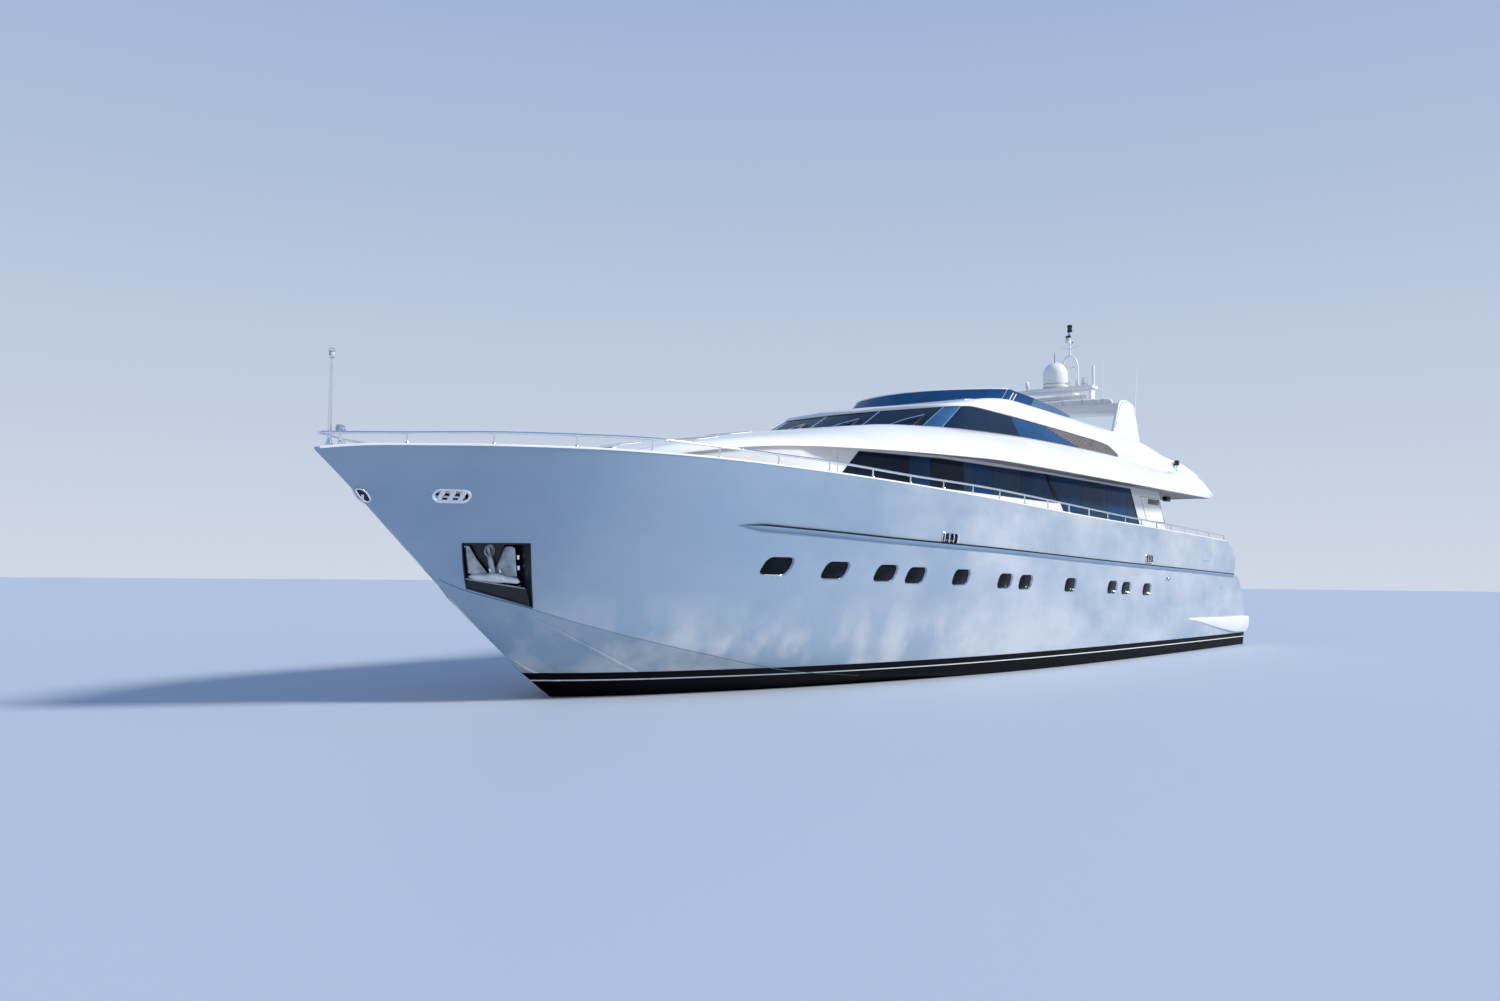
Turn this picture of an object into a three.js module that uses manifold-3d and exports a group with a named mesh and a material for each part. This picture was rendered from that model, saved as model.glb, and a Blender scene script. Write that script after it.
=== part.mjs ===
// Motor yacht, 31.3 m over all, afloat. Millimetres, +X to the bow, +Y to port, +Z up.
// The origin is on the design waterline and the centreline, half-way along the overall length.
// A station is a distance aft of the top of the stem, so x = bowX - station.

import * as THREE from 'three';
import { mergeVertices } from 'three/addons/utils/BufferGeometryUtils.js';
import Module from 'manifold-3d';

const wasm = await Module();
wasm.setup();

const lengthOverAll = 31300;
const bowX = lengthOverAll / 2;
const gap = 0.3;
const atStation = station => bowX - station;

// Hull lines, one row for each station: keel height, chine half-breadth and height, sheer
// half-breadth and height, and the exponent of the topside's curve (1 is straight).
const hullLines = [
  // station, keelZ, chineY, chineZ, sheerY, sheerZ, flare
  [0, 3500, 12, 3505, 30, 3540, 1],
  [450, 3130, 20, 3160, 400, 3600, 1],
  [1080, 2570, 30, 2610, 910, 3630, 1],
  [1960, 1790, 50, 1840, 1530, 3660, 1.05],
  [3030, 900, 850, 1410, 2130, 3680, 1.05],
  [3830, 260, 1200, 1160, 2480, 3680, 1],
  [4720, -280, 1500, 930, 2790, 3670, 0.95],
  [5750, -680, 1755, 700, 3070, 3645, 0.88],
  [7600, -1080, 2050, 350, 3360, 3600, 0.75],
  [10000, -1350, 2380, 130, 3490, 3550, 0.58],
  [13000, -1500, 2680, -20, 3500, 3480, 0.42],
  [17000, -1580, 2930, -150, 3480, 3370, 0.34],
  [22000, -1550, 3050, -220, 3430, 3280, 0.32],
  [26000, -1400, 3050, -250, 3360, 3200, 0.34],
  [30500, -1150, 3000, -250, 3240, 3100, 0.4],
];
const hullColumns = ['station', 'keelZ', 'chineY', 'chineZ', 'sheerY', 'sheerZ', 'flare'];

const deckForwardZ = 3050;
const deckDrop = 650 / 28000;
const deckZ = station => deckForwardZ - deckDrop * station;
const bulwarkThickness = 110;

// Value of one column of a table at a station, on a smooth curve through its rows.
function smooth(table, column, station) {
  const last = table.length - 1;
  const s = Math.min(Math.max(station, table[0][0]), table[last][0]);
  let i = 0;
  while (i < last - 1 && s > table[i + 1][0]) i += 1;
  const slope = k => {
    const a = table[Math.max(k - 1, 0)];
    const b = table[Math.min(k + 1, last)];
    return (b[column] - a[column]) / (b[0] - a[0]);
  };
  const h = table[i + 1][0] - table[i][0];
  const t = (s - table[i][0]) / h;
  const a = table[i][column];
  const b = table[i + 1][column];
  const square = t * t;
  const cube = square * t;
  return (2 * cube - 3 * square + 1) * a + (cube - 2 * square + t) * h * slope(i)
    + (3 * square - 2 * cube) * b + (cube - square) * h * slope(i + 1);
}

function hullAt(station) {
  const values = {};
  hullColumns.forEach((name, column) => {
    values[name] = column ? smooth(hullLines, column, station) : station;
  });
  return values;
}

// Half-breadth of the topsides at a station and a height.
function topsideY(station, z) {
  const h = hullAt(station);
  const t = Math.min(Math.max((z - h.chineZ) / (h.sheerZ - h.chineZ), 0), 1.1);
  return h.chineY + (h.sheerY - h.chineY) * t ** h.flare;
}

// Solids

function solidOf(geometry) {
  const bare = geometry.clone();
  bare.deleteAttribute('normal');
  bare.deleteAttribute('uv');
  const merged = mergeVertices(bare, 1e-3);
  return new wasm.Manifold(new wasm.Mesh({
    numProp: 3,
    vertProperties: new Float32Array(merged.attributes.position.array),
    triVerts: new Uint32Array(merged.index.array),
  }));
}

const finest = 0.05;

function geometryOf(solid) {
  const mesh = solid.simplify(finest).getMesh();
  const geometry = new THREE.BufferGeometry();
  geometry.setAttribute('position', new THREE.BufferAttribute(new Float32Array(mesh.vertProperties), 3));
  geometry.setIndex(new THREE.BufferAttribute(new Uint32Array(mesh.triVerts), 1));
  return geometry;
}

const union = solids => solids.reduce((sum, next) => sum.add(next));
const shifted = (solid, x, y, z) => solid.translate([x, y, z]);
const acrossMiddle = solid => solid.mirror([0, 1, 0]);

// What a cut leaves beside the main body is a sliver, and goes.
const largest = solid => solid.decompose().reduce((a, b) => (b.volume() > a.volume() ? b : a));

// A solid cut so that it rests on its carriers, with the same small gap all round.
function seated(solid, ...carriers) {
  let cut = solid;
  for (const carrier of carriers) {
    for (const way of [[1, 0, 0], [-1, 0, 0], [0, 1, 0], [0, -1, 0], [0, 0, 1], [0, 0, -1]]) {
      cut = cut.subtract(shifted(carrier, ...way.map(c => c * gap)));
    }
  }
  return largest(cut);
}

// A solid cut so that it stands on its carriers.
const standing = (solid, ...carriers) => largest(
  carriers.reduce((cut, carrier) => cut.subtract(shifted(carrier, 0, 0, gap)), solid));

// A closed skin through rings of [x, y, z] points, each end closed by a fan about its middle.
function loft(rings) {
  const count = rings[0].length;
  const points = rings.flat();
  const triangles = [];
  for (let i = 0; i < rings.length - 1; i += 1) {
    for (let j = 0; j < count; j += 1) {
      const a = i * count + j;
      const b = i * count + (j + 1) % count;
      triangles.push([a, b, a + count], [b, b + count, a + count]);
    }
  }
  for (const [end, forward] of [[0, false], [rings.length - 1, true]]) {
    const middle = points.length;
    points.push([0, 1, 2].map(axis => rings[end].reduce((sum, p) => sum + p[axis] / count, 0)));
    for (let j = 0; j < count; j += 1) {
      const a = end * count + j;
      const b = end * count + (j + 1) % count;
      triangles.push(forward ? [a, b, middle] : [b, a, middle]);
    }
  }
  const p = points.map(c => new THREE.Vector3(...c));
  const cross = new THREE.Vector3();
  const volume = triangles.reduce((sum, [a, b, c]) => sum + p[a].dot(cross.crossVectors(p[b], p[c])), 0);
  const geometry = new THREE.BufferGeometry();
  geometry.setAttribute('position', new THREE.Float32BufferAttribute(points.flat(), 3));
  geometry.setIndex(triangles.flatMap(t => (volume < 0 ? [t[0], t[2], t[1]] : t)));
  return geometry;
}

// An outline in side view, [station, z] points, given a width from y0 to y1.
function sidePrism(outline, y0, y1) {
  const shape = new THREE.Shape(outline.map(([station, z]) => new THREE.Vector2(atStation(station), z)));
  const geometry = new THREE.ExtrudeGeometry(shape, { depth: y1 - y0, bevelEnabled: false });
  return geometry.rotateX(Math.PI / 2).translate(0, y1, 0);
}

// An outline in plan, [station, y] points, given a height from z0 to z1.
function planPrism(outline, z0, z1) {
  const shape = new THREE.Shape(outline.map(([station, y]) => new THREE.Vector2(atStation(station), y)));
  return new THREE.ExtrudeGeometry(shape, { depth: z1 - z0, bevelEnabled: false }).translate(0, 0, z0);
}

// A block between two stations, two half-breadths and two heights.
const block = (s0, s1, y0, y1, z0, z1) => new THREE.BoxGeometry(s1 - s0, y1 - y0, z1 - z0)
  .translate(atStation((s0 + s1) / 2), (y0 + y1) / 2, (z0 + z1) / 2);

// A round bar between two points [x, y, z].
function bar(from, to, radius, sides = 8, endRadius = radius) {
  const a = new THREE.Vector3(...from);
  const b = new THREE.Vector3(...to);
  const geometry = new THREE.CylinderGeometry(endRadius, radius, a.distanceTo(b), sides);
  const turn = new THREE.Quaternion().setFromUnitVectors(
    new THREE.Vector3(0, 1, 0), b.clone().sub(a).normalize());
  return geometry.applyQuaternion(turn).translate(...a.add(b).multiplyScalar(0.5).toArray());
}

// A tube along points [x, y, z].
function tube(points, radius, sides = 6, steps = points.length * 2) {
  const section = new THREE.Shape();
  for (let i = 0; i < sides; i += 1) {
    const angle = i / sides * 2 * Math.PI;
    section[i ? 'lineTo' : 'moveTo'](radius * Math.cos(angle), radius * Math.sin(angle));
  }
  section.closePath();
  const path = new THREE.CatmullRomCurve3(points.map(p => new THREE.Vector3(...p)), false, 'centripetal');
  return new THREE.ExtrudeGeometry(section, { steps, extrudePath: path, bevelEnabled: false });
}

// A turned form about a vertical axis, from [radius, z] points.
function turned(profile, x, y, sides = 16) {
  const points = [[0, profile[0][1]], ...profile, [0, profile[profile.length - 1][1]]];
  const geometry = new THREE.LatheGeometry(points.map(([r, z]) => new THREE.Vector2(r, z)), sides);
  return geometry.rotateX(Math.PI / 2).translate(x, y, 0);
}

// The port half of a solid, and the same half on both sides.
const portSpace = solidOf(new THREE.BoxGeometry(80000, 20000, 40000).translate(0, 10000, 0));
function bothSides(solid) {
  const port = solid.intersect(portSpace);
  return port.add(acrossMiddle(port));
}

// The group and its materials

const yacht = new THREE.Group();
const finish = (color, roughness, metalness) => new THREE.MeshStandardMaterial({ color, roughness, metalness });
const materials = {
  silverPaint: finish(0xb9c1cb, 0.3, 0.5),
  whiteGelcoat: finish(0xf4f4f2, 0.2, 0),
  darkStrake: finish(0x26303c, 0.3, 0.4),
  tintedGlass: finish(0x101d33, 0.05, 0.2),
  polishedSteel: finish(0xd6d8da, 0.12, 1),
  bronze: finish(0xb08a4a, 0.3, 1),
  teak: finish(0xb58a5c, 0.7, 0),
  cushion: finish(0xe9e6df, 0.9, 0),
  engineGrey: finish(0x8b9096, 0.6, 0.4),
};

function add(name, solid, material) {
  const mesh = new THREE.Mesh(geometryOf(solid), materials[material]);
  mesh.name = name;
  yacht.add(mesh);
}

function addPair(name, solid, material) {
  add(`${name}_port`, solid, material);
  add(`${name}_starboard`, acrossMiddle(solid), material);
}

// Hull: one skin from the keel to the sheer, then split at the deck and at two watertight bulkheads

const topsideLevels = [0.05, 0.14, 0.3, 0.5, 0.7, 0.86, 1];

function hullRing(station) {
  const h = hullAt(station);
  const half = [[h.chineY * 0.5, h.keelZ + (h.chineZ - h.keelZ) * 0.46], [h.chineY, h.chineZ]];
  for (const level of topsideLevels) {
    const z = h.chineZ + (h.sheerZ - h.chineZ) * level;
    half.push([topsideY(station, z), z]);
  }
  const x = atStation(station);
  const port = half.map(([y, z]) => [x, y, z]);
  const starboard = [...half].reverse().map(([y, z]) => [x, -y, z]);
  return [[x, 0, h.keelZ], ...port, ...starboard];
}

const hullStations = [...hullLines.map(row => row[0]), 8800, 11500, 15000, 19500, 24000, 28200]
  .sort((a, b) => a - b);
const wholeHull = bothSides(solidOf(loft(hullStations.map(hullRing))));

// The quarters in side view: the bulwark's end rounds down to the rub rail, the hull below it
// slopes aft to the platform. What lies aft of this line is cut away.
const quarterLine = [
  [28150, 3600], [28200, 3160], [28600, 3030], [28950, 2830], [29200, 2530], [29100, 2300],
  [28980, 2140], [29550, 2060], [29950, 1650], [30300, 1150], [30430, 860], [30430, -2500],
];
const behindQuarters = solidOf(sidePrism([...quarterLine, [33000, -2500], [33000, 3600]], -4000, 4000));

// Transom between the stairs, and the flight of stairs on each side.
const platformZ = 860;
const stairCount = 5;
const stairTop = 28300;
const stairRun = 400;
const stairInnerY = 1700;
const stairOuterY = 2980;
const transomTop = [28500, 2600];
const transomFoot = [29950, platformZ];
const sternDeckZ = deckZ(stairTop);
const stairRise = (sternDeckZ - platformZ) / stairCount;
const stairLine = [[stairTop, 3600]];
for (let step = 1; step <= stairCount; step += 1) {
  const z = sternDeckZ - step * stairRise;
  stairLine.push([stairTop + (step - 1) * stairRun, z]);
  if (step < stairCount) stairLine.push([stairTop + step * stairRun, z]);
}
stairLine.push([33000, platformZ], [33000, 3600]);
const stairs = solidOf(sidePrism(stairLine, stairInnerY, stairOuterY));
const transomCut = solidOf(sidePrism(
  [[transomTop[0], 3600], transomTop, transomFoot, [33000, platformZ], [33000, 3600]],
  -stairInnerY - 1, stairInnerY + 1));

// Tender garage behind the transom door, open forward to the engine room.
const garageHalfWidth = 1456;
const garageFloorZ = 945;
const garageCeilingZ = 2200;
const engineRoom = { from: 20500, to: 25600, halfWidth: 2000, floorZ: -600 };
const garage = solidOf(block(engineRoom.to - 100, 31000, -garageHalfWidth, garageHalfWidth,
  garageFloorZ, garageCeilingZ));
const engineSpace = solidOf(block(engineRoom.from, engineRoom.to, -engineRoom.halfWidth,
  engineRoom.halfWidth, engineRoom.floorZ, garageCeilingZ));

// The saloon's sole lies below the side decks.
const saloon = { from: 9000, to: 23600, halfWidth: 2480, soleZ: 2250 };
const saloonWell = solidOf(block(saloon.from, saloon.to - 200, -saloon.halfWidth + 60,
  saloon.halfWidth - 60, saloon.soleZ, 3600));

// Anchor pockets in the flare, their outlines on the port topside as [station, z].
const pocketCorners = [[2040, 2330], [2740, 2340], [3040, 1430], [2300, 1700]];
const pocketDepth = 340;

function pocketRing(depth) {
  return pocketCorners.map(([station, z]) => [atStation(station), topsideY(station, z) - depth, z]);
}
const pocketPort = solidOf(loft([pocketRing(-300), pocketRing(pocketDepth)]));
const pockets = pocketPort.add(acrossMiddle(pocketPort));

// White fairing along each quarter that carries the platform's line forward.
const fairingRows = [
  // station, proud of the topside, lowest z, highest z
  [24700, 8, 880, 930],
  [27000, 60, 640, 900],
  [29000, 110, 440, 890],
  [30425, 140, 400, 880],
];
const fairingPort = solidOf(loft(fairingRows.map(([station, proud, low, high]) => {
  const x = atStation(station);
  const y = topsideY(station, (low + high) / 2);
  return [[x, y - 150, low], [x, y + proud * 0.7, low], [x, y + proud, (low + high) / 2],
    [x, y + proud * 0.8, high], [x, y - 150, high]];
})));

const aboveDeckLine = [[-1000, deckZ(-1000)], [33000, deckZ(33000)], [33000, 6000], [-1000, 6000]];
const aboveDeck = solidOf(sidePrism(aboveDeckLine, -5000, 5000));

// Chain locker under the foredeck, with a raised coaming that its hatch closes.
const hatch = { from: 3150, to: 3850, half: 330, coaming: 50, rise: 70, lid: 45 };
hatch.topZ = deckZ(hatch.from) + hatch.rise;
const lockerFloorZ = 2300;
const hatchCoaming = solidOf(block(hatch.from, hatch.to, -hatch.half, hatch.half, 2800, hatch.topZ));
const chainLocker = solidOf(block(hatch.from + hatch.coaming, hatch.to - hatch.coaming,
  -hatch.half + hatch.coaming, hatch.half - hatch.coaming, lockerFloorZ, 4000));

// Bearings of the rudder stocks
const rudder = { station: 29250, y: 1250, stockRadius: 38, bearingRadius: 38.7, topZ: -600, sides: 24 };
const bearing = solidOf(turned([[rudder.bearingRadius, -1500], [rudder.bearingRadius, rudder.topZ + 10]],
  atStation(rudder.station), rudder.y, rudder.sides));

const hullSolid = wholeHull
  .add(fairingPort).add(acrossMiddle(fairingPort))
  .subtract(aboveDeck).add(hatchCoaming).subtract(chainLocker)
  .subtract(behindQuarters).subtract(transomCut)
  .subtract(stairs).subtract(acrossMiddle(stairs))
  .subtract(garage).subtract(engineSpace).subtract(saloonWell).subtract(pockets)
  .subtract(bearing).subtract(acrossMiddle(bearing));
const length = (solid, from, to) => solid.intersect(solidOf(block(from + gap / 2, to - gap / 2, -5000, 5000,
  -4000, 9000)));
const forepeakBulkhead = 4600;
const sternBulkhead = engineRoom.to;
add('hull_forepeak', length(hullSolid, -1000, forepeakBulkhead), 'silverPaint');
add('hull', length(hullSolid, forepeakBulkhead, sternBulkhead), 'silverPaint');
add('hull_stern', length(hullSolid, sternBulkhead, 33000), 'silverPaint');

// Bulwarks above the deck, with the boarding gates cut out of them
const wellStations = hullStations.filter(s => s >= 1080 && s <= 26000).concat([28200, 31500]);
const deckWell = solidOf(loft(wellStations.map(station => {
  const h = hullAt(station);
  const x = atStation(station);
  const foot = topsideY(station, deckZ(station)) - bulwarkThickness;
  const head = h.sheerY - bulwarkThickness;
  return [[x, -foot, deckZ(station) - 5], [x, foot, deckZ(station) - 5], [x, head, h.sheerZ],
    [x, head, 5000], [x, -head, 5000], [x, -head, h.sheerZ]];
})));
const gate = { from: 25720, to: 26520, sill: 60, clear: 8, swingClear: 14, pinRadius: 12 };
gate.bottomZ = deckZ(gate.from) + gate.sill;
const gateBlock = (clear, swingClear) => solidOf(block(gate.from - clear, gate.to + swingClear, 2500, 4000,
  gate.bottomZ - clear, 3600));
const bulwarkRing = wholeHull.intersect(shifted(aboveDeck, 0, 0, gap)).subtract(deckWell)
  .subtract(behindQuarters);
const bulwarkPort = bulwarkRing.intersect(shifted(portSpace, 0, gap / 2, 0));
addPair('bulwark', bulwarkPort.subtract(gateBlock(gate.clear, gate.swingClear)), 'silverPaint');
const gateHinge = { x: atStation(gate.from + 10) };
gateHinge.y = topsideY(gate.from, deckZ(gate.from)) - bulwarkThickness + 8;
const gatePin = solidOf(bar([gateHinge.x, gateHinge.y, gate.bottomZ - gate.clear + gap],
  [gateHinge.x, gateHinge.y, gate.bottomZ + 300], gate.pinRadius, 10));
addPair('boarding_gate', bulwarkPort.intersect(gateBlock(0, 0)).add(gatePin), 'silverPaint');

// Coaming across the stern deck between the stairs, and the door of the garage below it
const coamingTopZ = 3080;
const sternCoaming = seated(solidOf(sidePrism([[28120, 2300], [28440, 2300], [28440, coamingTopZ],
  [28180, coamingTopZ]], -stairInnerY + 20, stairInnerY - 20)), hullSolid);
add('transom_coaming', sternCoaming, 'whiteGelcoat');

const transomSlope = (transomFoot[0] - transomTop[0]) / (transomTop[1] - transomFoot[1]);
const transomAt = z => transomTop[0] + (transomTop[1] - z) * transomSlope;
const door = {
  thickness: 90, inset: 4, clear: 6, bottomZ: garageFloorZ + 6, topZ: garageCeilingZ - 45, pinRadius: 20,
};
door.halfWidth = garageHalfWidth - door.clear;
const doorPinStation = transomAt(door.topZ) - door.thickness / 2;
add('garage_door', union([
  sidePrism([
    [transomAt(door.bottomZ) - door.inset, door.bottomZ], [transomAt(door.topZ) - door.inset, door.topZ],
    [transomAt(door.topZ) - door.thickness, door.topZ],
    [transomAt(door.bottomZ) - door.thickness, door.bottomZ],
  ], -door.halfWidth, door.halfWidth),
  bar([atStation(doorPinStation), -garageHalfWidth + gap, door.topZ],
    [atStation(doorPinStation), garageHalfWidth - gap, door.topZ], door.pinRadius, 10),
].map(solidOf)), 'silverPaint');

// Swim platform
const platformHalfWidth = 3080;
const platformCorner = 450;
const platformForward = 30430 + gap;
const platformAft = lengthOverAll;
const cornerPoint = platformCorner * 0.3;
add('swim_platform', solidOf(planPrism([
  [platformForward, -platformHalfWidth], [platformAft - platformCorner, -platformHalfWidth],
  [platformAft - cornerPoint, -platformHalfWidth + cornerPoint],
  [platformAft, -platformHalfWidth + platformCorner], [platformAft, platformHalfWidth - platformCorner],
  [platformAft - cornerPoint, platformHalfWidth - cornerPoint],
  [platformAft - platformCorner, platformHalfWidth], [platformForward, platformHalfWidth],
], 430, platformZ)), 'whiteGelcoat');

// Rub rails
const rubLine = [
  // station, z
  [5600, 2690], [7260, 2630], [9370, 2560], [12960, 2480], [18020, 2350], [23730, 2230], [28950, 2120],
];
const rubSteps = 24;
const rubRings = [];
for (let k = 0; k <= rubSteps; k += 1) {
  const station = rubLine[0][0] + (rubLine[rubLine.length - 1][0] - rubLine[0][0]) * k / rubSteps;
  const z = smooth(rubLine, 1, station);
  const x = atStation(station);
  const height = k ? 55 : 20;
  const proud = k ? 45 : 10;
  const low = topsideY(station, z - height);
  const high = topsideY(station, z + height);
  rubRings.push([[x, low - 30, z - height], [x, low + proud * 0.6, z - height * 0.7],
    [x, high + proud, z], [x, high + proud * 0.5, z + height * 0.8], [x, high - 30, z + height]]);
}
const rubRail = largest(solidOf(loft(rubRings)).subtract(shifted(wholeHull, 0, 2 * gap, 0))
  .subtract(behindQuarters));
addPair('rub_rail', rubRail, 'darkStrake');

// Upper deck: the coachroof forward, the wide shoulder over the side decks and the overhang aft
const upperDeckLines = [
  // station, edgeY, edgeZ, shoulderY, shoulderZ, crownZ
  [4350, 150, 3560, 90, 3640, 3670],
  [4800, 1150, 3700, 800, 3820, 3860],
  [5500, 1800, 3860, 1350, 4020, 4060],
  [6500, 2330, 4010, 1800, 4190, 4240],
  [7600, 2720, 4090, 2050, 4370, 4420],
  [9000, 3000, 4150, 2150, 4590, 4650],
  [10200, 3130, 4200, 2250, 4780, 4810],
  [12100, 3230, 4270, 2450, 4925, 4930],
  [13300, 3250, 4310, 2520, 4985, 4950],
  [15800, 3260, 4325, 2600, 5070, 4950],
  [18650, 3260, 4330, 2700, 5090, 4950],
  [21100, 3250, 4335, 2730, 5085, 4950],
  [24000, 3200, 4345, 2790, 5000, 4950],
  [26900, 3080, 4375, 2900, 4965, 4950],
  [27900, 2980, 4400, 2960, 4430, 4430],
];
const soffitRise = 60;
const houseHalfWidth = 2600;

function upperDeckRing([station, edgeY, edgeZ, shoulderY, shoulderZ, crownZ]) {
  const x = atStation(station);
  const soffitY = Math.min(houseHalfWidth + 20, edgeY * 0.85);
  const soffitZ = Math.min(edgeZ + soffitRise, (edgeZ + shoulderZ) / 2);
  const floorY = shoulderY - (shoulderZ > crownZ ? 260 : shoulderY * 0.4);
  const half = [[soffitY, soffitZ], [edgeY, edgeZ], [edgeY - 15, edgeZ + 25],
    [(edgeY + shoulderY) / 2 + 20, (edgeZ + shoulderZ) / 2 + 40], [shoulderY, shoulderZ],
    [floorY, crownZ]];
  return [[x, 0, soffitZ], ...half.map(([y, z]) => [x, y, z]), [x, 0, crownZ],
    ...[...half].reverse().map(([y, z]) => [x, -y, z])];
}

// The deck is open inside the wheelhouse, over the saloon.
const wheelhouse = { from: 12450, to: 14000, halfWidth: 1900, aft: 14300 };
const wheelhouseWell = solidOf(block(wheelhouse.from, wheelhouse.to, -wheelhouse.halfWidth,
  wheelhouse.halfWidth, 4000, 5200));
const upperDeck = bothSides(solidOf(loft(upperDeckLines.map(upperDeckRing)))).subtract(wheelhouseWell);
add('coachroof', length(upperDeck, 4000, wheelhouse.aft), 'whiteGelcoat');
add('upper_deck', length(upperDeck, wheelhouse.aft, 28000), 'whiteGelcoat');

// Deckhouse: a solid trunk forward, two side walls with their windows and a bulkhead aft
const trunkRows = [
  // station, half-breadth
  [4500, 150], [4900, 1050], [5500, 1650], [6500, 2150], [7600, 2480], [8390, houseHalfWidth],
];
const trunk = solidOf(loft(trunkRows.map(([station, y]) => {
  const x = atStation(station);
  const high = smooth(upperDeckLines, 2, station) + 40;
  return [[x, -y, 2700], [x, y, 2700], [x, y * 0.97, high], [x, -y * 0.97, high]];
})));
add('house_trunk', seated(bothSides(trunk), hullSolid, upperDeck), 'whiteGelcoat');

const wallThickness = 110;
const houseInner = houseHalfWidth - wallThickness;
const wallFoot = 8391;
const wallEnd = 25400;
const windowSillZ = 3680;
const aftWindowSillZ = 3150;
const wallHead = station => smooth(upperDeckLines, 2, station) + soffitRise + 15;
const wallOutline = [[wallFoot, 2300], [wallEnd, 2300],
  ...[24400, 21100, 15800, 13300, 12100, 10200, 9000, wallFoot].map(s => [s, wallHead(s)])];
const windows = {
  // outlines as [station, z], up to just under the soffit
  saloon_glass_forward: [[8450, windowSillZ], [17550, windowSillZ + 20], [16950, 4340], [12000, 4280],
    [9050, 4160]],
  saloon_glass_aft: [[17080, 4340], [18300, aftWindowSillZ], [23100, aftWindowSillZ], [22250, 4350]],
};
let houseWall = solidOf(sidePrism(wallOutline, houseInner, houseHalfWidth));
for (const outline of Object.values(windows)) {
  houseWall = houseWall.subtract(solidOf(sidePrism(outline, houseInner - 10, houseHalfWidth + 10)));
}
houseWall = seated(houseWall, hullSolid, upperDeck);
addPair('house_wall', houseWall, 'whiteGelcoat');
const glassThickness = 24;
const glassInset = 20;
for (const [name, outline] of Object.entries(windows)) {
  const y = houseHalfWidth - glassInset;
  addPair(name, seated(solidOf(sidePrism(outline, y - glassThickness, y)), houseWall), 'tintedGlass');
}

// Aft bulkhead of the saloon, a wide doorway in it, and two leaves that run on a track behind
const bulkhead = { from: saloon.to - 80, to: saloon.to, doorwayHalf: 1150, headZ: 4180 };
const leaf = { width: 1180, thickness: 40, clear: 6 };
const trackTopZ = deckZ(bulkhead.to) + 20;
const bulkheadSolid = solidOf(block(bulkhead.from, bulkhead.to, -houseInner - 40, houseInner + 40, 2400, 4500))
  .subtract(solidOf(block(bulkhead.from - 100, bulkhead.to + 100, -bulkhead.doorwayHalf,
    bulkhead.doorwayHalf, trackTopZ, bulkhead.headZ)))
  .add(solidOf(block(bulkhead.to - 10, bulkhead.to + leaf.clear + leaf.thickness + 10,
    -houseInner - 40, houseInner + 40, 2400, trackTopZ)));
add('saloon_bulkhead', seated(bulkheadSolid, hullSolid, upperDeck, houseWall, acrossMiddle(houseWall)),
  'whiteGelcoat');
const leafStation = bulkhead.to + leaf.clear;
addPair('saloon_door', solidOf(block(leafStation, leafStation + leaf.thickness, leaf.clear / 2,
  leaf.width, trackTopZ + gap, bulkhead.headZ + 60)), 'tintedGlass');

// Wheelhouse: each row gives the foot and the head of the glass, [station, y, z] twice
const windshieldRows = [
  [11740, 0, 4902, 12800, 0, 5460],
  [11780, 500, 4905, 12840, 480, 5463],
  [11880, 1000, 4911, 12950, 960, 5470],
  [11990, 1500, 4918, 13070, 1440, 5478],
  [12110, 2000, 4924, 13220, 1930, 5490],
  [12230, 2290, 4928, 13340, 2150, 5502],
  [12420, 2420, 4937, 13560, 2232, 5524],
];
const sideGlassRows = [
  [12460, 2424, 4939, 13600, 2233, 5528],
  [13300, 2520, 4990, 14000, 2238, 5568],
  [15800, 2600, 5072, 16500, 2300, 5540],
  [18650, 2700, 5092, 19100, 2400, 5465],
  [20500, 2725, 5092, 20700, 2590, 5340],
  [21050, 2730, 5090, 21100, 2705, 5125],
];

// A band between the foot and head lines, from one depth behind the outer face to another, and
// longer by a margin at the foot and the head.
function band(rows, outer, inner, margin = 0) {
  const foot = rows.map(r => new THREE.Vector3(atStation(r[0]), r[1], r[2]));
  const head = rows.map(r => new THREE.Vector3(atStation(r[3]), r[4], r[5]));
  foot.forEach((low, i) => {
    const more = head[i].clone().sub(low).setLength(margin);
    low.sub(more);
    head[i].add(more);
  });
  const startsInMiddle = rows[0][1] === 0;
  return solidOf(loft(rows.map((_, i) => {
    const before = foot[i === 0 && startsInMiddle ? 1 : Math.max(i - 1, 0)].clone();
    if (i === 0 && startsInMiddle) before.y *= -1;
    const after = foot[Math.min(i + 1, rows.length - 1)];
    const along = after.clone().sub(before);
    const inward = new THREE.Vector3().crossVectors(along, head[i].clone().sub(foot[i])).normalize();
    if (inward.z > 0) inward.negate();
    const point = (base, depth) => base.clone().addScaledVector(inward, depth).toArray();
    return [point(foot[i], outer), point(head[i], outer), point(head[i], inner), point(foot[i], inner)];
  })));
}

// A pane on such rows, or the room that it needs in what stands behind it.
const pane = 30;
const bedding = 2;
const paneOn = rows => band(rows, 0, pane);
const paneRoom = rows => band(rows, -60, pane + bedding, 5);

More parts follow.
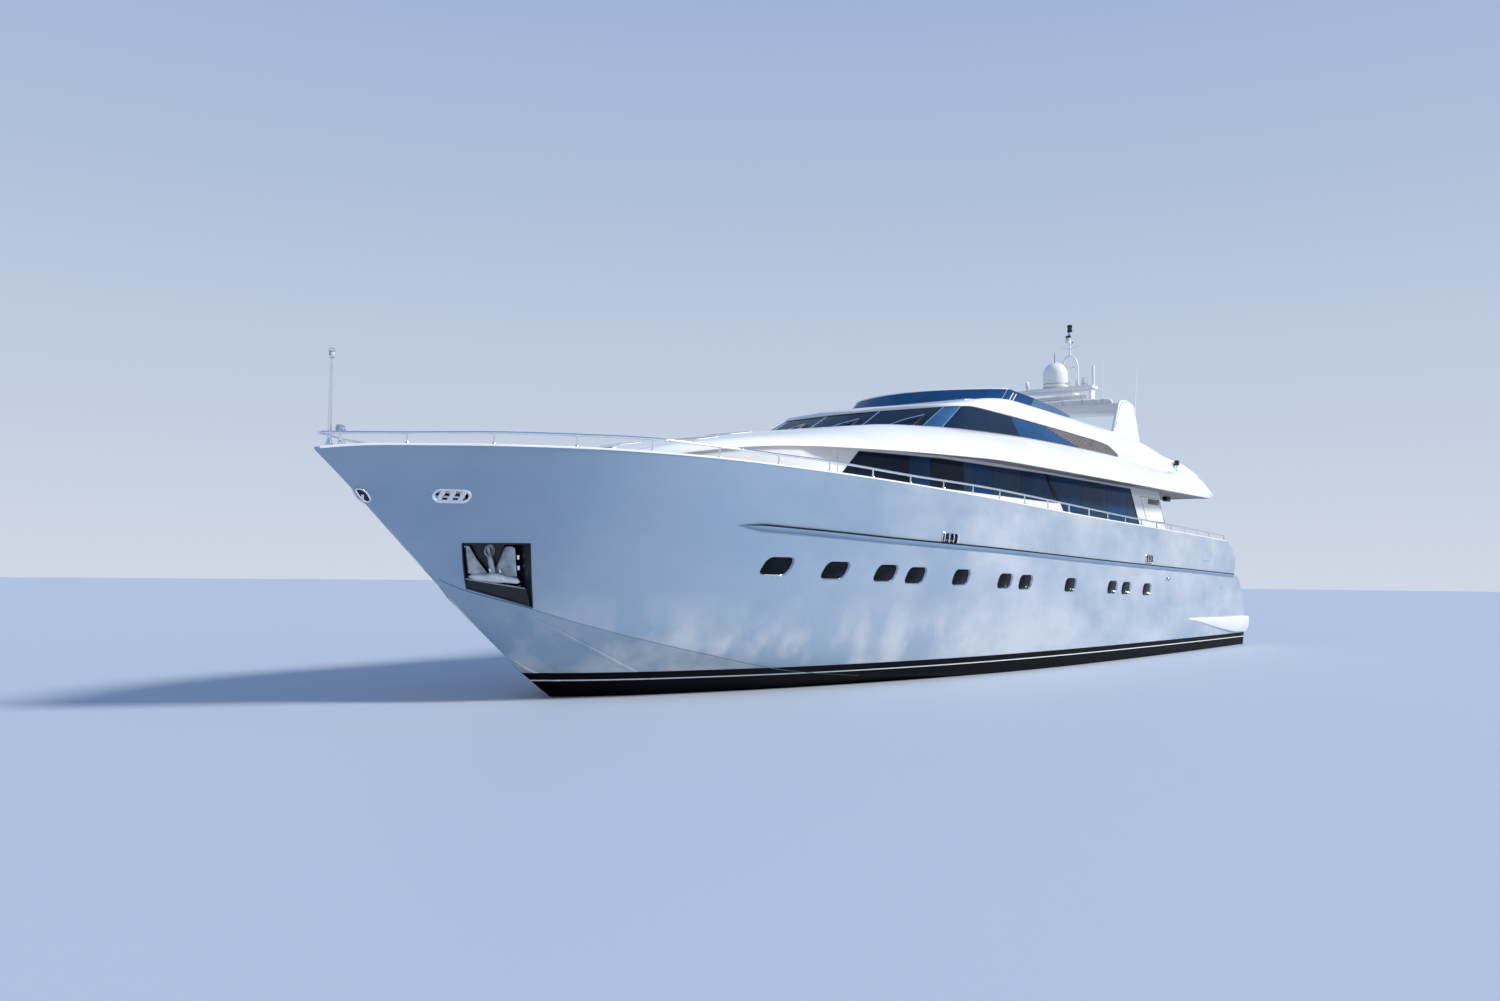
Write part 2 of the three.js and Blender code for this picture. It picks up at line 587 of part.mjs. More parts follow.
// Roof over the wheelhouse, a shell from the brow to the foot of the flybridge screen
const roofLines = [
  // station, eaveY, eaveZ, shoulderY, shoulderZ, crownZ
  [12760, 150, 5452, 100, 5490, 5500],
  [12830, 480, 5462, 380, 5525, 5545],
  [12950, 980, 5470, 860, 5555, 5585],
  [13070, 1450, 5478, 1320, 5580, 5610],
  [13220, 1940, 5490, 1800, 5610, 5640],
  [13340, 2160, 5502, 2010, 5635, 5660],
  [13560, 2236, 5526, 2085, 5675, 5695],
  [13900, 2250, 5568, 2105, 5730, 5745],
  [wheelhouse.aft, 2255, 5580, 2115, 5790, 5800],
];
const roofThickness = 110;
const roof = bothSides(solidOf(loft(roofLines.map(([station, eaveY, eaveZ, shoulderY, shoulderZ, crownZ]) => {
  const x = atStation(station);
  const outer = [[eaveY, eaveZ], [shoulderY, shoulderZ]];
  const inner = [[shoulderY * 0.94, shoulderZ - roofThickness], [eaveY - 50, eaveZ - 50]];
  const onSide = sign => ([y, z]) => [x, sign * y, z];
  return [...outer.map(onSide(1)), [x, 0, crownZ], ...[...outer].reverse().map(onSide(-1)),
    ...[...inner].reverse().map(onSide(-1)), [x, 0, crownZ - roofThickness], ...inner.map(onSide(1))];
}))));
add('wheelhouse_roof', roof, 'whiteGelcoat');

const windshield = seated(bothSides(paneOn(windshieldRows)), upperDeck, roof);
add('windshield', windshield, 'tintedGlass');
const sideGlass = seated(paneOn(sideGlassRows), upperDeck, roof, windshield);
addPair('wheelhouse_glass', sideGlass, 'tintedGlass');

// Coamings of the flybridge: the outer face is let in where the side glass lies on it
const coamingLines = [
  // station, headY, headZ, topY, topZ
  [wheelhouse.aft + gap, 2255, 5582, 2115, 5790],
  [15000, 2275, 5576, 2130, 5885],
  [15800, 2295, 5566, 2142, 5965],
  [16500, 2315, 5552, 2150, 5975],
  [19100, 2415, 5477, 2115, 5955],
  [20700, 2600, 5352, 2180, 5910],
  [21150, 2722, 5130, 2240, 5885],
  [21950, 2660, 5280, 2300, 5840],
  [23660, 2690, 5250, 2400, 5710],
  [24900, 2750, 5180, 2600, 5420],
  [25900, 2790, 5130, 2700, 5320],
  [26890, 2890, 5010, 2840, 5060],
];
const coamingWidth = 200;
const coaming = seated(solidOf(loft(coamingLines.map(([station, headY, headZ, topY, topZ]) => {
  const x = atStation(station);
  const footY = smooth(upperDeckLines, 3, station);
  const footZ = smooth(upperDeckLines, 4, station) - 30;
  return [[footY, footZ], [headY, headZ], [headY, headZ + 12], [topY, topZ], [topY - coamingWidth, topZ],
    [footY - 320, 4900]].map(([y, z]) => [x, y, z]);
}))).subtract(paneRoom(sideGlassRows)), upperDeck, roof);
addPair('flybridge_coaming', coaming, 'whiteGelcoat');
const coamings = coaming.add(acrossMiddle(coaming));

// Wheelhouse walls behind the glass, with their windows cut
const frameDepth = 110;
const frameRows = windshieldRows.concat([sideGlassRows[1],
  [13600, 2545, 5003, wheelhouse.aft - 60, 2250, 5570]]);
let frameHalf = band(frameRows, 0, frameDepth, 60).subtract(paneRoom(sideGlassRows))
  .subtract(paneRoom(windshieldRows));
const mullionY = [640, 740];
const cornerPostY = 2080;
const frontWindow = [[11600, 4985], [13400, 4985], [13400, 5400], [11600, 5400]];
for (const [from, to] of [[0, mullionY[0]], [mullionY[1], cornerPostY]]) {
  frameHalf = frameHalf.subtract(solidOf(sidePrism(frontWindow, from, to)));
}
const sideWindow = [[12760, 5030], [13420, 5060], [13980, 5470], [13640, 5460]];
frameHalf = frameHalf.subtract(solidOf(sidePrism(sideWindow, 0, 3000)));
const wheelhouseFrame =
  seated(bothSides(frameHalf), upperDeck, roof, windshield, sideGlass, acrossMiddle(sideGlass));
add('wheelhouse_frame', wheelhouseFrame, 'whiteGelcoat');

// Flybridge: dash across the front, windscreen on the roof and the coamings
const flyFloorZ = 4950;
const dashAft = 15900;
const dashForward = wheelhouse.aft + 2 * gap;
const dashHalf = 1930;
const dash = seated(solidOf(sidePrism([[dashForward, flyFloorZ - 20], [dashAft, flyFloorZ - 20],
  [dashAft - 40, 5700], [dashAft - 280, 5930], [dashAft - 400, 5945], [dashForward, 5800]],
-dashHalf, dashHalf)), upperDeck,
coamings);
add('flybridge_dash', dash, 'whiteGelcoat');

const screenRows = [
  [14750, 0, 5846, 15250, 0, 6245],
  [14850, 600, 5858, 15330, 600, 6245],
  [15060, 1120, 5884, 15500, 1110, 6245],
  [15330, 1560, 5916, 15720, 1540, 6246],
  [15560, 1830, 5970, 15900, 1800, 6248],
  [15850, 2040, 5981, 16150, 2040, 6250],
  [16100, 2066, 5971.5, 16400, 2062, 6240],
  [16500, 2066, 5975.7, 16780, 2062, 6230],
  [17500, 2066, 5968, 17700, 2062, 6190],
  [18600, 2056, 5960, 18750, 2050, 6130],
  [19100, 2048, 5957.2, 19220, 2040, 6080],
  [19600, 2040, 5943.8, 19700, 2030, 6030],
];
const screenThickness = 20;
add('flybridge_screen', standing(bothSides(band(screenRows, 0, screenThickness)), dash), 'tintedGlass');

// Arch of two fins on the coamings and a beam, with the radar's pedestal and the whip antennas
const mastStation = 23450;
const beamTopZ = 6790;
const radarZ = 7000;
const finY = [2205, 2297];
const fin = seated(solidOf(sidePrism([[21840, 5700], [22330, 6640], [22480, 6760], [22900, 6800],
  [23300, 6700], [23560, 6420], [23860, 5690], [23860, 5500], [22500, 5500], [21840, 5600]], ...finY)), coaming);
const beamRow = (y, lift) => [[22650, 6560], [22750, 6480], [23560, 6480], [23660, 6580], [23660, 6700],
  [23480, beamTopZ], [22800, beamTopZ], [22650, 6700]].map(([s, z]) => [atStation(s), y, z + lift]);
const beam = solidOf(loft([beamRow(-2220, -20), beamRow(-1500, 30), beamRow(0, 50), beamRow(1500, 30),
  beamRow(2220, -20)]));
const bareArch = bothSides(fin.add(beam));
const pedestal = [[190, beamTopZ - 40], [190, beamTopZ + 50], [170, 6900], [120, radarZ - 12]];
const whips = [
  // station, y, foot z, top z
  [23300, 1450, beamTopZ - 30, 8300],
  [23300, -1450, beamTopZ - 30, 7850],
];
const tallWhip = bar([atStation(23560), 2250, 6300], [atStation(23900), 2250, 8930], 24, 6, 7);
add('radar_arch', union([bareArch, solidOf(turned(pedestal, atStation(mastStation), 0, 14)), solidOf(tallWhip),
  ...whips.map(([s, y, z0, z1]) => solidOf(bar([atStation(s), y, z0], [atStation(s), y, z1], 16, 6, 7)))]),
'whiteGelcoat');

// Mast platform on two posts, with the small domes moulded on it
const platformUnderZ = 7250;
const mastDeckZ = 7380;
const wingRow = (y, half, z0) => [[-1, z0 + 40], [-0.5, z0], [0.6, z0], [1, z0 + 50], [1, mastDeckZ - 15],
  [0.9, mastDeckZ], [-0.9, mastDeckZ], [-1, mastDeckZ - 15]]
  .map(([part, z]) => [atStation(mastStation + part * half), y, z]);
const wing = solidOf(loft([wingRow(-1180, 220, 7300), wingRow(-700, 300, 7270),
  wingRow(-300, 360, platformUnderZ), wingRow(300, 360, platformUnderZ), wingRow(700, 300, 7270),
  wingRow(1180, 220, 7300)]));
const mastFoot = 24500;
const boom = solidOf(block(mastStation + 200, mastFoot + 180, -330, 330, 7265, mastDeckZ));
const postY = 1080;
const post = solidOf(sidePrism([[mastStation - 110, 6700], [mastStation + 110, 6700],
  [mastStation + 80, 7330], [mastStation - 80, 7330]], postY - 45, postY + 45));
const smallDome = [[70, mastDeckZ - 20], [70, mastDeckZ], [92, mastDeckZ + 40], [92, 7540], [70, 7610], [30, 7640]];
const aerial = [[16, mastDeckZ - 20], [16, 7480], [50, 7500], [62, 7560], [50, 7640], [20, 7670]];
const mastPlatform = seated(union([wing, boom, post, acrossMiddle(post),
  solidOf(turned(smallDome, atStation(mastStation), 860, 12)),
  solidOf(turned(aerial, atStation(mastStation), -860, 10))]), bareArch);
add('mast_platform', mastPlatform, 'whiteGelcoat');

const loopHalf = 250;
const loopTopZ = 8300;
const mastX = atStation(mastFoot);
const loopPath = [[mastX, -loopHalf - 20, mastDeckZ - 20], [mastX, -loopHalf, 7900],
  [mastX, -loopHalf * 0.8, 8180], [mastX, 0, loopTopZ], [mastX, loopHalf * 0.8, 8180],
  [mastX, loopHalf, 7900], [mastX, loopHalf + 20, mastDeckZ - 20]];
const mastParts = [
  tube(loopPath, 34, 6, 16),
  bar([mastX, -loopHalf, 8010], [mastX, loopHalf, 8010], 22, 6),
  bar([mastX, 0, loopTopZ - 40], [mastX, 0, 9000], 34, 8),
  bar([mastX, -340, 8690], [mastX, 340, 8760], 14, 6),
  bar([mastX - 260, 0, 8640], [mastX + 260, 0, 8700], 14, 6),
  turned([[60, 8960], [80, 9000], [80, 9190], [40, 9230], [40, 9290], [78, 9300], [78, 9440], [50, 9480]],
    mastX, 0, 10),
];
add('mast', seated(union(mastParts.map(solidOf)), mastPlatform), 'whiteGelcoat');

const dome = { radius: 350, footRadius: 290, seatZ: mastDeckZ + gap, shoulderZ: 7790, topZ: 8170, steps: 6 };
const domeProfile = [[dome.footRadius, dome.seatZ], [dome.footRadius + 10, dome.seatZ + 40],
  [dome.radius, dome.seatZ + 90], [dome.radius, dome.shoulderZ]];
for (let k = 1; k < dome.steps; k += 1) {
  const angle = k / dome.steps * Math.PI / 2;
  domeProfile.push([dome.radius * Math.cos(angle),
    dome.shoulderZ + (dome.topZ - dome.shoulderZ) * Math.sin(angle)]);
}
add('satellite_dome', solidOf(turned(domeProfile, atStation(mastStation), 0, 20)), 'whiteGelcoat');

const scanner = { span: 1800, depth: 130, height: 120, hubRadius: 70 };
add('radar_scanner', union([
  turned([[scanner.hubRadius, radarZ - 12 + gap], [scanner.hubRadius, radarZ + 60]],
    atStation(mastStation), 0, 12),
  new THREE.BoxGeometry(scanner.depth, scanner.span, scanner.height)
    .translate(atStation(mastStation), 0, radarZ + 90),
].map(solidOf)), 'whiteGelcoat');

// Flybridge furniture
const onFlyDeck = geometries => seated(union(geometries.map(solidOf)), upperDeck);
add('helm_seat', onFlyDeck([block(16700, 17100, -1100, 0, 4940, 5300),
  block(16550, 17150, -1150, 50, 5290, 5450), block(17100, 17250, -1150, 50, 5290, 5950)]), 'cushion');
const setteePlan = [[17200, 1000], [17200, 1780], [20200, 1880], [20200, -1880], [19500, -1880], [19500, 1000]];
add('flybridge_settee', onFlyDeck([planPrism(setteePlan, 4940, 5400)]), 'cushion');
add('flybridge_table', onFlyDeck([block(17700, 19000, -300, 700, 5560, 5610),
  block(18250, 18450, 100, 300, 4940, 5570)]), 'teak');
add('flybridge_sunpad', onFlyDeck([block(24300, 26300, -1500, 1500, 4940, 5330)]), 'cushion');

// Aft deck furniture
const onDeck = geometries => seated(union(geometries.map(solidOf)), hullSolid, sternCoaming);
add('aft_settee', onDeck([block(27350, 28110, -1500, 1500, 2350, 2850),
  block(27950, 28110, -1500, 1500, 2840, 3060)]), 'cushion');
add('aft_table', onDeck([block(25900, 26900, -900, 900, 3090, 3140),
  block(26300, 26500, -100, 100, 2350, 3100)]), 'teak');

// Foredeck: windlasses, and the lid of the chain locker's hatch
const windlass = turned([[170, 2950], [170, 3100], [110, 3120], [90, 3200], [150, 3240], [150, 3290], [80, 3310]],
  atStation(2250), 380, 14);
addPair('windlass', onDeck([windlass]), 'polishedSteel');
add('hatch_lid', solidOf(block(hatch.from, hatch.to, -hatch.half, hatch.half, hatch.topZ + gap,
  hatch.topZ + gap + hatch.lid)), 'whiteGelcoat');

// Rails: a top tube on stanchions a fixed distance apart along the sheer
const railLine = [
  // station, z
  [60, 3740], [450, 3755], [870, 3770], [1770, 3820], [2730, 3850], [3830, 3870], [4530, 3850],
  [5940, 3800], [7100, 3780], [9340, 3715], [12740, 3680], [19610, 3480], [25200, 3360], [28100, 3290],
];
const railInset = 55;
const stanchion = { spacing: 1138, radius: 15, bury: 25 };
const railY = station => Math.max(hullAt(station).sheerY - railInset, 32);
const stanchionStations = [90, gate.from - 60, gate.to + 60, 28060];
const overGate = station => station > gate.from - 400 && station < gate.to + 400;
let run = 0;
for (let station = 60; station < 27600; station += 20) {
  run += Math.hypot(20, railY(station + 20) - railY(station));
  if (run < stanchion.spacing) continue;
  run -= stanchion.spacing;
  if (!overGate(station)) stanchionStations.push(station);
}
const railParts = [tube(railLine.map(([station, z]) => [atStation(station), railY(station), z]), 20, 6, 44)];
for (const station of stanchionStations) {
  railParts.push(bar([atStation(station), railY(station), hullAt(station).sheerZ - stanchion.bury],
    [atStation(station), railY(station), smooth(railLine, 1, station)], stanchion.radius, 6));
}
addPair('rail', seated(union(railParts.map(solidOf)), wholeHull), 'polishedSteel');

const staffStation = 200;
add('jackstaff', seated(union([
  bar([atStation(staffStation), 0, 3540], [atStation(staffStation), 0, 4820], 30, 10, 26),
  turned([[42, 4800], [42, 4900], [28, 4930]], atStation(staffStation), 0, 10),
].map(solidOf)), wholeHull), 'polishedSteel');

// Anchors stowed in their pockets: shank, crown and two flukes as one casting
const anchorDepth = 290;
const anchorAt = (station, z, out = 0) => [atStation(station), topsideY(station, z) - anchorDepth + out, z];
const anchorParts = [
  bar(anchorAt(2460, 2230), anchorAt(2620, 1780), 60, 8),
  bar(anchorAt(2360, 1840), anchorAt(2860, 1720), 60, 8),
  bar(anchorAt(2370, 1840), anchorAt(2330, 2160, 90), 45, 6, 20),
  bar(anchorAt(2850, 1720), anchorAt(2760, 2120, 90), 45, 6, 20),
];
addPair('anchor', seated(union(anchorParts.map(solidOf)), hullSolid), 'polishedSteel');

// Underwater gear on each side: shaft with its bracket, propeller and rudder
const shaftY = 1250;
const shaftRise = 0.14;
const shaftPitch = Math.atan(shaftRise);
const propStation = 28400;
const propZ = -1400;
const hubHalf = 110;
const shaftPoint = station => [atStation(station), shaftY, propZ + (propStation - station) * shaftRise];
const shaftEnd = propStation - (hubHalf + gap) * Math.cos(shaftPitch);
const shaftParts = [
  bar(shaftPoint(24300), shaftPoint(shaftEnd), 45, 10),
  bar(shaftPoint(27950), shaftPoint(shaftEnd - 20), 80, 10),
  sidePrism([[27900, -700], [28180, -700], [28200, -1400], [27980, -1400]], shaftY - 25, shaftY + 25),
];
addPair('shaft', seated(union(shaftParts.map(solidOf)), hullSolid), 'bronze');

const propRadius = 470;
const bladeCount = 4;
const hub = solidOf(new THREE.CylinderGeometry(70, 85, 2 * hubHalf, 12).rotateZ(Math.PI / 2));
const bladeSections = [
  // radius, chord, thickness, pitch angle from the shaft's plane
  [50, 190, 34, 58], [200, 300, 22, 40], [340, 320, 14, 28], [430, 220, 9, 23], [propRadius, 70, 5, 21],
];
const blade = solidOf(loft(bladeSections.map(([radius, chord, thick, pitch]) => {
  const angle = THREE.MathUtils.degToRad(pitch);
  return [[-chord / 2, 0], [0, thick / 2], [chord / 2, 0], [0, -thick / 2]].map(([c, t]) => [
    c * Math.sin(angle) + t * Math.cos(angle), c * Math.cos(angle) - t * Math.sin(angle), radius]);
})));
let propeller = hub;
for (let k = 0; k < bladeCount; k += 1) propeller = propeller.add(blade.rotate([k * 360 / bladeCount, 0, 0]));
addPair('propeller', propeller.rotate([0, -THREE.MathUtils.radToDeg(shaftPitch), 0])
  .translate(shaftPoint(propStation)), 'bronze');

const rudderSection = (z, from, to) => [[-from, 0], [-from * 0.4, 45], [to * 0.3, 40], [to, 4], [to, -4],
  [to * 0.3, -40], [-from * 0.4, -45]].map(([s, y]) => [atStation(rudder.station + s), rudder.y + y, z]);
addPair('rudder', union([
  loft([rudderSection(-1800, 150, 420), rudderSection(-960, 200, 430)]),
  turned([[rudder.stockRadius, -1300], [rudder.stockRadius, rudder.topZ]], atStation(rudder.station),
    rudder.y, rudder.sides),
].map(solidOf)), 'bronze');

// Engines as plain masses on the engine-room floor
addPair('engine', solidOf(block(21600, 24400, 520, 1850, engineRoom.floorZ + gap, 820)), 'engineGrey');

export default yacht;
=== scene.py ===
# Flybridge motor yacht afloat, 31.3 m over all. Metres, +X to the bow, +Y to port, +Z up. The origin is
# on the waterline, half-way along. A station is a distance aft of the top of the stem.

import math

import bmesh
import bpy
import numpy as np
from mathutils import Matrix, Vector


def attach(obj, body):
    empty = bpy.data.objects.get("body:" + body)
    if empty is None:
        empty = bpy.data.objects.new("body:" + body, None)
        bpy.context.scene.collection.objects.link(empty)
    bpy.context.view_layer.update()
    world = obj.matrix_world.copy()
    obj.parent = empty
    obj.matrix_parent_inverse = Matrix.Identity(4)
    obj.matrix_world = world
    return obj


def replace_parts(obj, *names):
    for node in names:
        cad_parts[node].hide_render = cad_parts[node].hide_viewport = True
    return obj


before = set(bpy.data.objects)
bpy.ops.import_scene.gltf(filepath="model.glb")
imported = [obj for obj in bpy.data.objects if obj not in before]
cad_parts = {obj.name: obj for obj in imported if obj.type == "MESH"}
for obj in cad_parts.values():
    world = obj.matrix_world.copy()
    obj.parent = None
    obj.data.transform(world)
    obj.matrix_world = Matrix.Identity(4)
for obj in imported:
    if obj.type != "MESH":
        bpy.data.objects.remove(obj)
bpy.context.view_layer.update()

# Camera: the photograph's place, off the port bow and less than two metres above the water.

camera_place = Vector((24.47, 14.10, 1.87))
camera_ahead = Vector((-0.7886, -0.6149, 0))
camera_right = Vector((-0.6149, 0.7886, 0))
camera_pitch = 0.0654
camera_roll = 0.0097

camera = bpy.data.objects.new("camera", bpy.data.cameras.new("camera"))
bpy.context.scene.collection.objects.link(camera)
bpy.context.scene.camera = camera
camera.data.lens = 28.8
camera.data.sensor_width = 36
camera.data.clip_end = 2000
straight_up = Vector((0, 0, 1))
sight = camera_ahead * math.cos(camera_pitch) + straight_up * math.sin(camera_pitch)
upright = camera_right.cross(sight)
right = camera_right * math.cos(camera_roll) + upright * math.sin(camera_roll)
up = upright * math.cos(camera_roll) - camera_right * math.sin(camera_roll)
camera.matrix_world = Matrix.Translation(camera_place) @ Matrix((right, up, -sight)).transposed().to_4x4()

# Studio: a pale floor at the waterline, a pale blue surround and a soft sun high on the port quarter, so
# that the flat topsides aft are the brightest and the flare of the bow is shaded.

floor_size = 900
sun_direction = Vector((-0.35, 0.75, 0.62))
sun_strength = 4.2
horizon_colour, zenith_colour = (0.80, 0.88, 1.00, 1), (0.20, 0.38, 0.78, 1)
surround_strength = 0.78

bpy.ops.mesh.primitive_plane_add(size=floor_size, location=(0, 0, 0))
floor = bpy.context.object
floor.name = "floor"
floor_finish = bpy.data.materials.new("pale floor")
floor_finish.use_nodes = True
floor_shader = floor_finish.node_tree.nodes["Principled BSDF"]
floor_shader.inputs["Base Color"].default_value = (0.42, 0.475, 0.55, 1)
floor_shader.inputs["Roughness"].default_value = 0.55
floor.data.materials.append(floor_finish)

world = bpy.data.worlds.new("surround")
world.use_nodes = True
sky = world.node_tree.nodes
sky["Background"].inputs["Strength"].default_value = surround_strength
sky_split, sky_ramp = sky.new("ShaderNodeSeparateXYZ"), sky.new("ShaderNodeValToRGB")
sky_ramp.color_ramp.elements[0].color = horizon_colour
sky_ramp.color_ramp.elements[1].color = zenith_colour
sky_ramp.color_ramp.elements[1].position = 0.75
for source, target in ((sky.new("ShaderNodeTexCoord").outputs["Generated"], sky_split.inputs[0]),
        (sky_split.outputs["Z"], sky_ramp.inputs[0]),
        (sky_ramp.outputs[0], sky["Background"].inputs["Color"])):
    world.node_tree.links.new(source, target)
bpy.context.scene.world = world
bpy.context.scene.view_settings.view_transform = "Standard"

sun = bpy.data.objects.new("sun", bpy.data.lights.new("sun", "SUN"))
sun.data.energy = sun_strength
sun.data.angle = math.radians(12)
sun.data.color = (1, 0.97, 0.92)
sun.rotation_mode = "QUATERNION"
sun.rotation_quaternion = sun_direction.to_track_quat("Z", "Y")
bpy.context.scene.collection.objects.link(sun)

# Hull lay-up: one glass-fibre moulding from the keel to the sheer, its bulwarks moulded with it, painted
# metallic silver, with the deck, the stern stairs, the saloon well, the garage and the pockets let in.

length_over_all = 31.3
bow_x = length_over_all / 2

# keel height, chine half-breadth and height, sheer half-breadth and height, exponent of the topside
hull_lines = [
    (0.00, 3.50, 0.012, 3.505, 0.030, 3.540, 1.00),
    (0.45, 3.13, 0.020, 3.160, 0.400, 3.600, 1.00),
    (1.08, 2.57, 0.030, 2.610, 0.910, 3.630, 1.00),
    (1.96, 1.79, 0.050, 1.840, 1.530, 3.660, 1.05),
    (3.03, 0.90, 0.850, 1.410, 2.130, 3.680, 1.05),
    (3.83, 0.26, 1.200, 1.160, 2.480, 3.680, 1.00),
    (4.72, -0.28, 1.500, 0.930, 2.790, 3.670, 0.95),
    (5.75, -0.68, 1.755, 0.700, 3.070, 3.645, 0.88),
    (7.60, -1.08, 2.050, 0.350, 3.360, 3.600, 0.75),
    (10.0, -1.35, 2.380, 0.130, 3.490, 3.550, 0.58),
    (13.0, -1.50, 2.680, -0.02, 3.500, 3.480, 0.42),
    (17.0, -1.58, 2.930, -0.15, 3.480, 3.370, 0.34),
    (22.0, -1.55, 3.050, -0.22, 3.430, 3.280, 0.32),
    (26.0, -1.40, 3.050, -0.25, 3.360, 3.200, 0.34),
    (30.5, -1.15, 3.000, -0.25, 3.240, 3.100, 0.40),
]
KEEL_Z, CHINE_Y, CHINE_Z, SHEER_Y, SHEER_Z, FLARE = range(1, 7)
deck_forward_z = 3.05
deck_drop = 0.65 / 28
bulwark = 0.11


def at(station):
    return bow_x - station


def deck_z(station):
    return deck_forward_z - deck_drop * station


def smooth(table, column, station):
    """One column's value at a station, on a smooth curve through the table's rows."""
    last = len(table) - 1
    s = min(max(station, table[0][0]), table[last][0])
    i = 0
    while i < last - 1 and s > table[i + 1][0]:
        i += 1

    def slope(k):
        a, b = table[max(k - 1, 0)], table[min(k + 1, last)]
        return (b[column] - a[column]) / (b[0] - a[0])

    h = table[i + 1][0] - table[i][0]
    t = (s - table[i][0]) / h
    a, b = table[i][column], table[i + 1][column]
    return ((2 * t**3 - 3 * t**2 + 1) * a + (t**3 - 2 * t**2 + t) * h * slope(i) + (3 * t**2 - 2 * t**3) * b
        + (t**3 - t**2) * h * slope(i + 1))


def hull_line(column, station):
    return smooth(hull_lines, column, station)


def topside_y(station, z):
    """Half-breadth of the topsides at a station and a height."""
    chine_y, chine_z = hull_line(CHINE_Y, station), hull_line(CHINE_Z, station)
    rise = (z - chine_z) / (hull_line(SHEER_Z, station) - chine_z)
    rise = min(max(rise, 0), 1.1)
    return chine_y + (hull_line(SHEER_Y, station) - chine_y) * rise ** hull_line(FLARE, station)


def bottom_z(station, y):
    """Height of the bottom, slightly hollow, between the keel and the chine."""
    out = y / hull_line(CHINE_Y, station)
    keel_z = hull_line(KEEL_Z, station)
    return keel_z + (hull_line(CHINE_Z, station) - keel_z) * (0.84 * out + 0.16 * out**2)


def node_finish(name, slot, colour, roughness, metallic=0.0, **sockets):
    """A new material with its shader; what is the same all over is set on the shader's own sockets."""
    material = bpy.data.materials.new(name)
    material.use_nodes = True
    material["slot"] = slot
    shader = material.node_tree.nodes["Principled BSDF"]
    shader.inputs["Base Color"].default_value = (*colour, 1)
    shader.inputs["Roughness"].default_value = roughness
    shader.inputs["Metallic"].default_value = metallic
    for socket, value in sockets.items():
        shader.inputs[socket.replace("_", " ").title().replace("Ior", "IOR")].default_value = value
    return material


class Wiring:
    """Adds nodes to a material's tree, each fed by name."""

    def __init__(self, material):
        self.tree = material.node_tree
        self.shader = self.tree.nodes["Principled BSDF"]
        self.place = self.add("ShaderNodeTexCoord").outputs["Object"]

    def add(self, kind, feeds=None, **settings):
        node = self.tree.nodes.new(kind)
        for key, value in settings.items():
            setattr(node, key, value)
        for socket, value in (feeds or {}).items():
            if isinstance(value, bpy.types.NodeSocket):
                self.tree.links.new(value, node.inputs[socket])
            else:
                node.inputs[socket].default_value = value
        return node

    def feed(self, socket, value):
        self.tree.links.new(value, self.shader.inputs[socket])

    def math(self, operation, a, b=0.0, c=0.0):
        return self.add("ShaderNodeMath", {0: a, 1: b, 2: c}, operation=operation).outputs[0]

    def noise(self, scale, detail=3.0, stretch=(1, 1, 1), roughness=0.5):
        spot = self.add("ShaderNodeMapping", {"Vector": self.place, "Scale": stretch}).outputs[0]
        return self.add("ShaderNodeTexNoise", {
            "Vector": spot, "Scale": scale, "Detail": detail, "Roughness": roughness}).outputs["Fac"]

    def between(self, value, low, high, to_low, to_high):
        """Maps a value's range to another, without going past its ends."""
        return self.add("ShaderNodeMapRange", {
            "Value": value, "From Min": low, "From Max": high, "To Min": to_low, "To Max": to_high},
            clamp=True).outputs[0]

    def mix(self, factor, a, b):
        node = self.add("ShaderNodeMix", data_type="RGBA")
        for socket, value in ((0, factor), (6, a), (7, b)):
            if isinstance(value, bpy.types.NodeSocket):
                self.tree.links.new(value, node.inputs[socket])
            else:
                node.inputs[socket].default_value = value if socket == 0 else (*value, 1)
        return node.outputs[2]

    def bump(self, height, depth, strength=0.5):
        self.feed("Normal", self.add("ShaderNodeBump", {
            "Height": height, "Distance": depth, "Strength": strength}).outputs[0])


def worn(material, cloud=2.0, tone=0.06, grain=90.0, depth=0.0002, shine=0.06):
    """Soft clouds of tone, a fine grain in the surface and an uneven shine, as on any used finish."""
    wires = Wiring(material)
    shader = wires.shader
    colour = tuple(shader.inputs["Base Color"].default_value)[:3]
    darker = tuple(c * (1 - 2 * tone) for c in colour)
    lighter = tuple(min(1, c * (1 + tone)) for c in colour)
    clouds = wires.noise(cloud, 4)
    wires.feed("Base Color", wires.mix(wires.between(clouds, 0.35, 0.65, 0, 1), darker, lighter))
    base = shader.inputs["Roughness"].default_value
    fine = wires.noise(grain, 2)
    wires.feed("Roughness", wires.between(fine, 0.3, 0.7, max(base - shine, 0.01), base + shine))
    wires.bump(fine, depth)
    return material


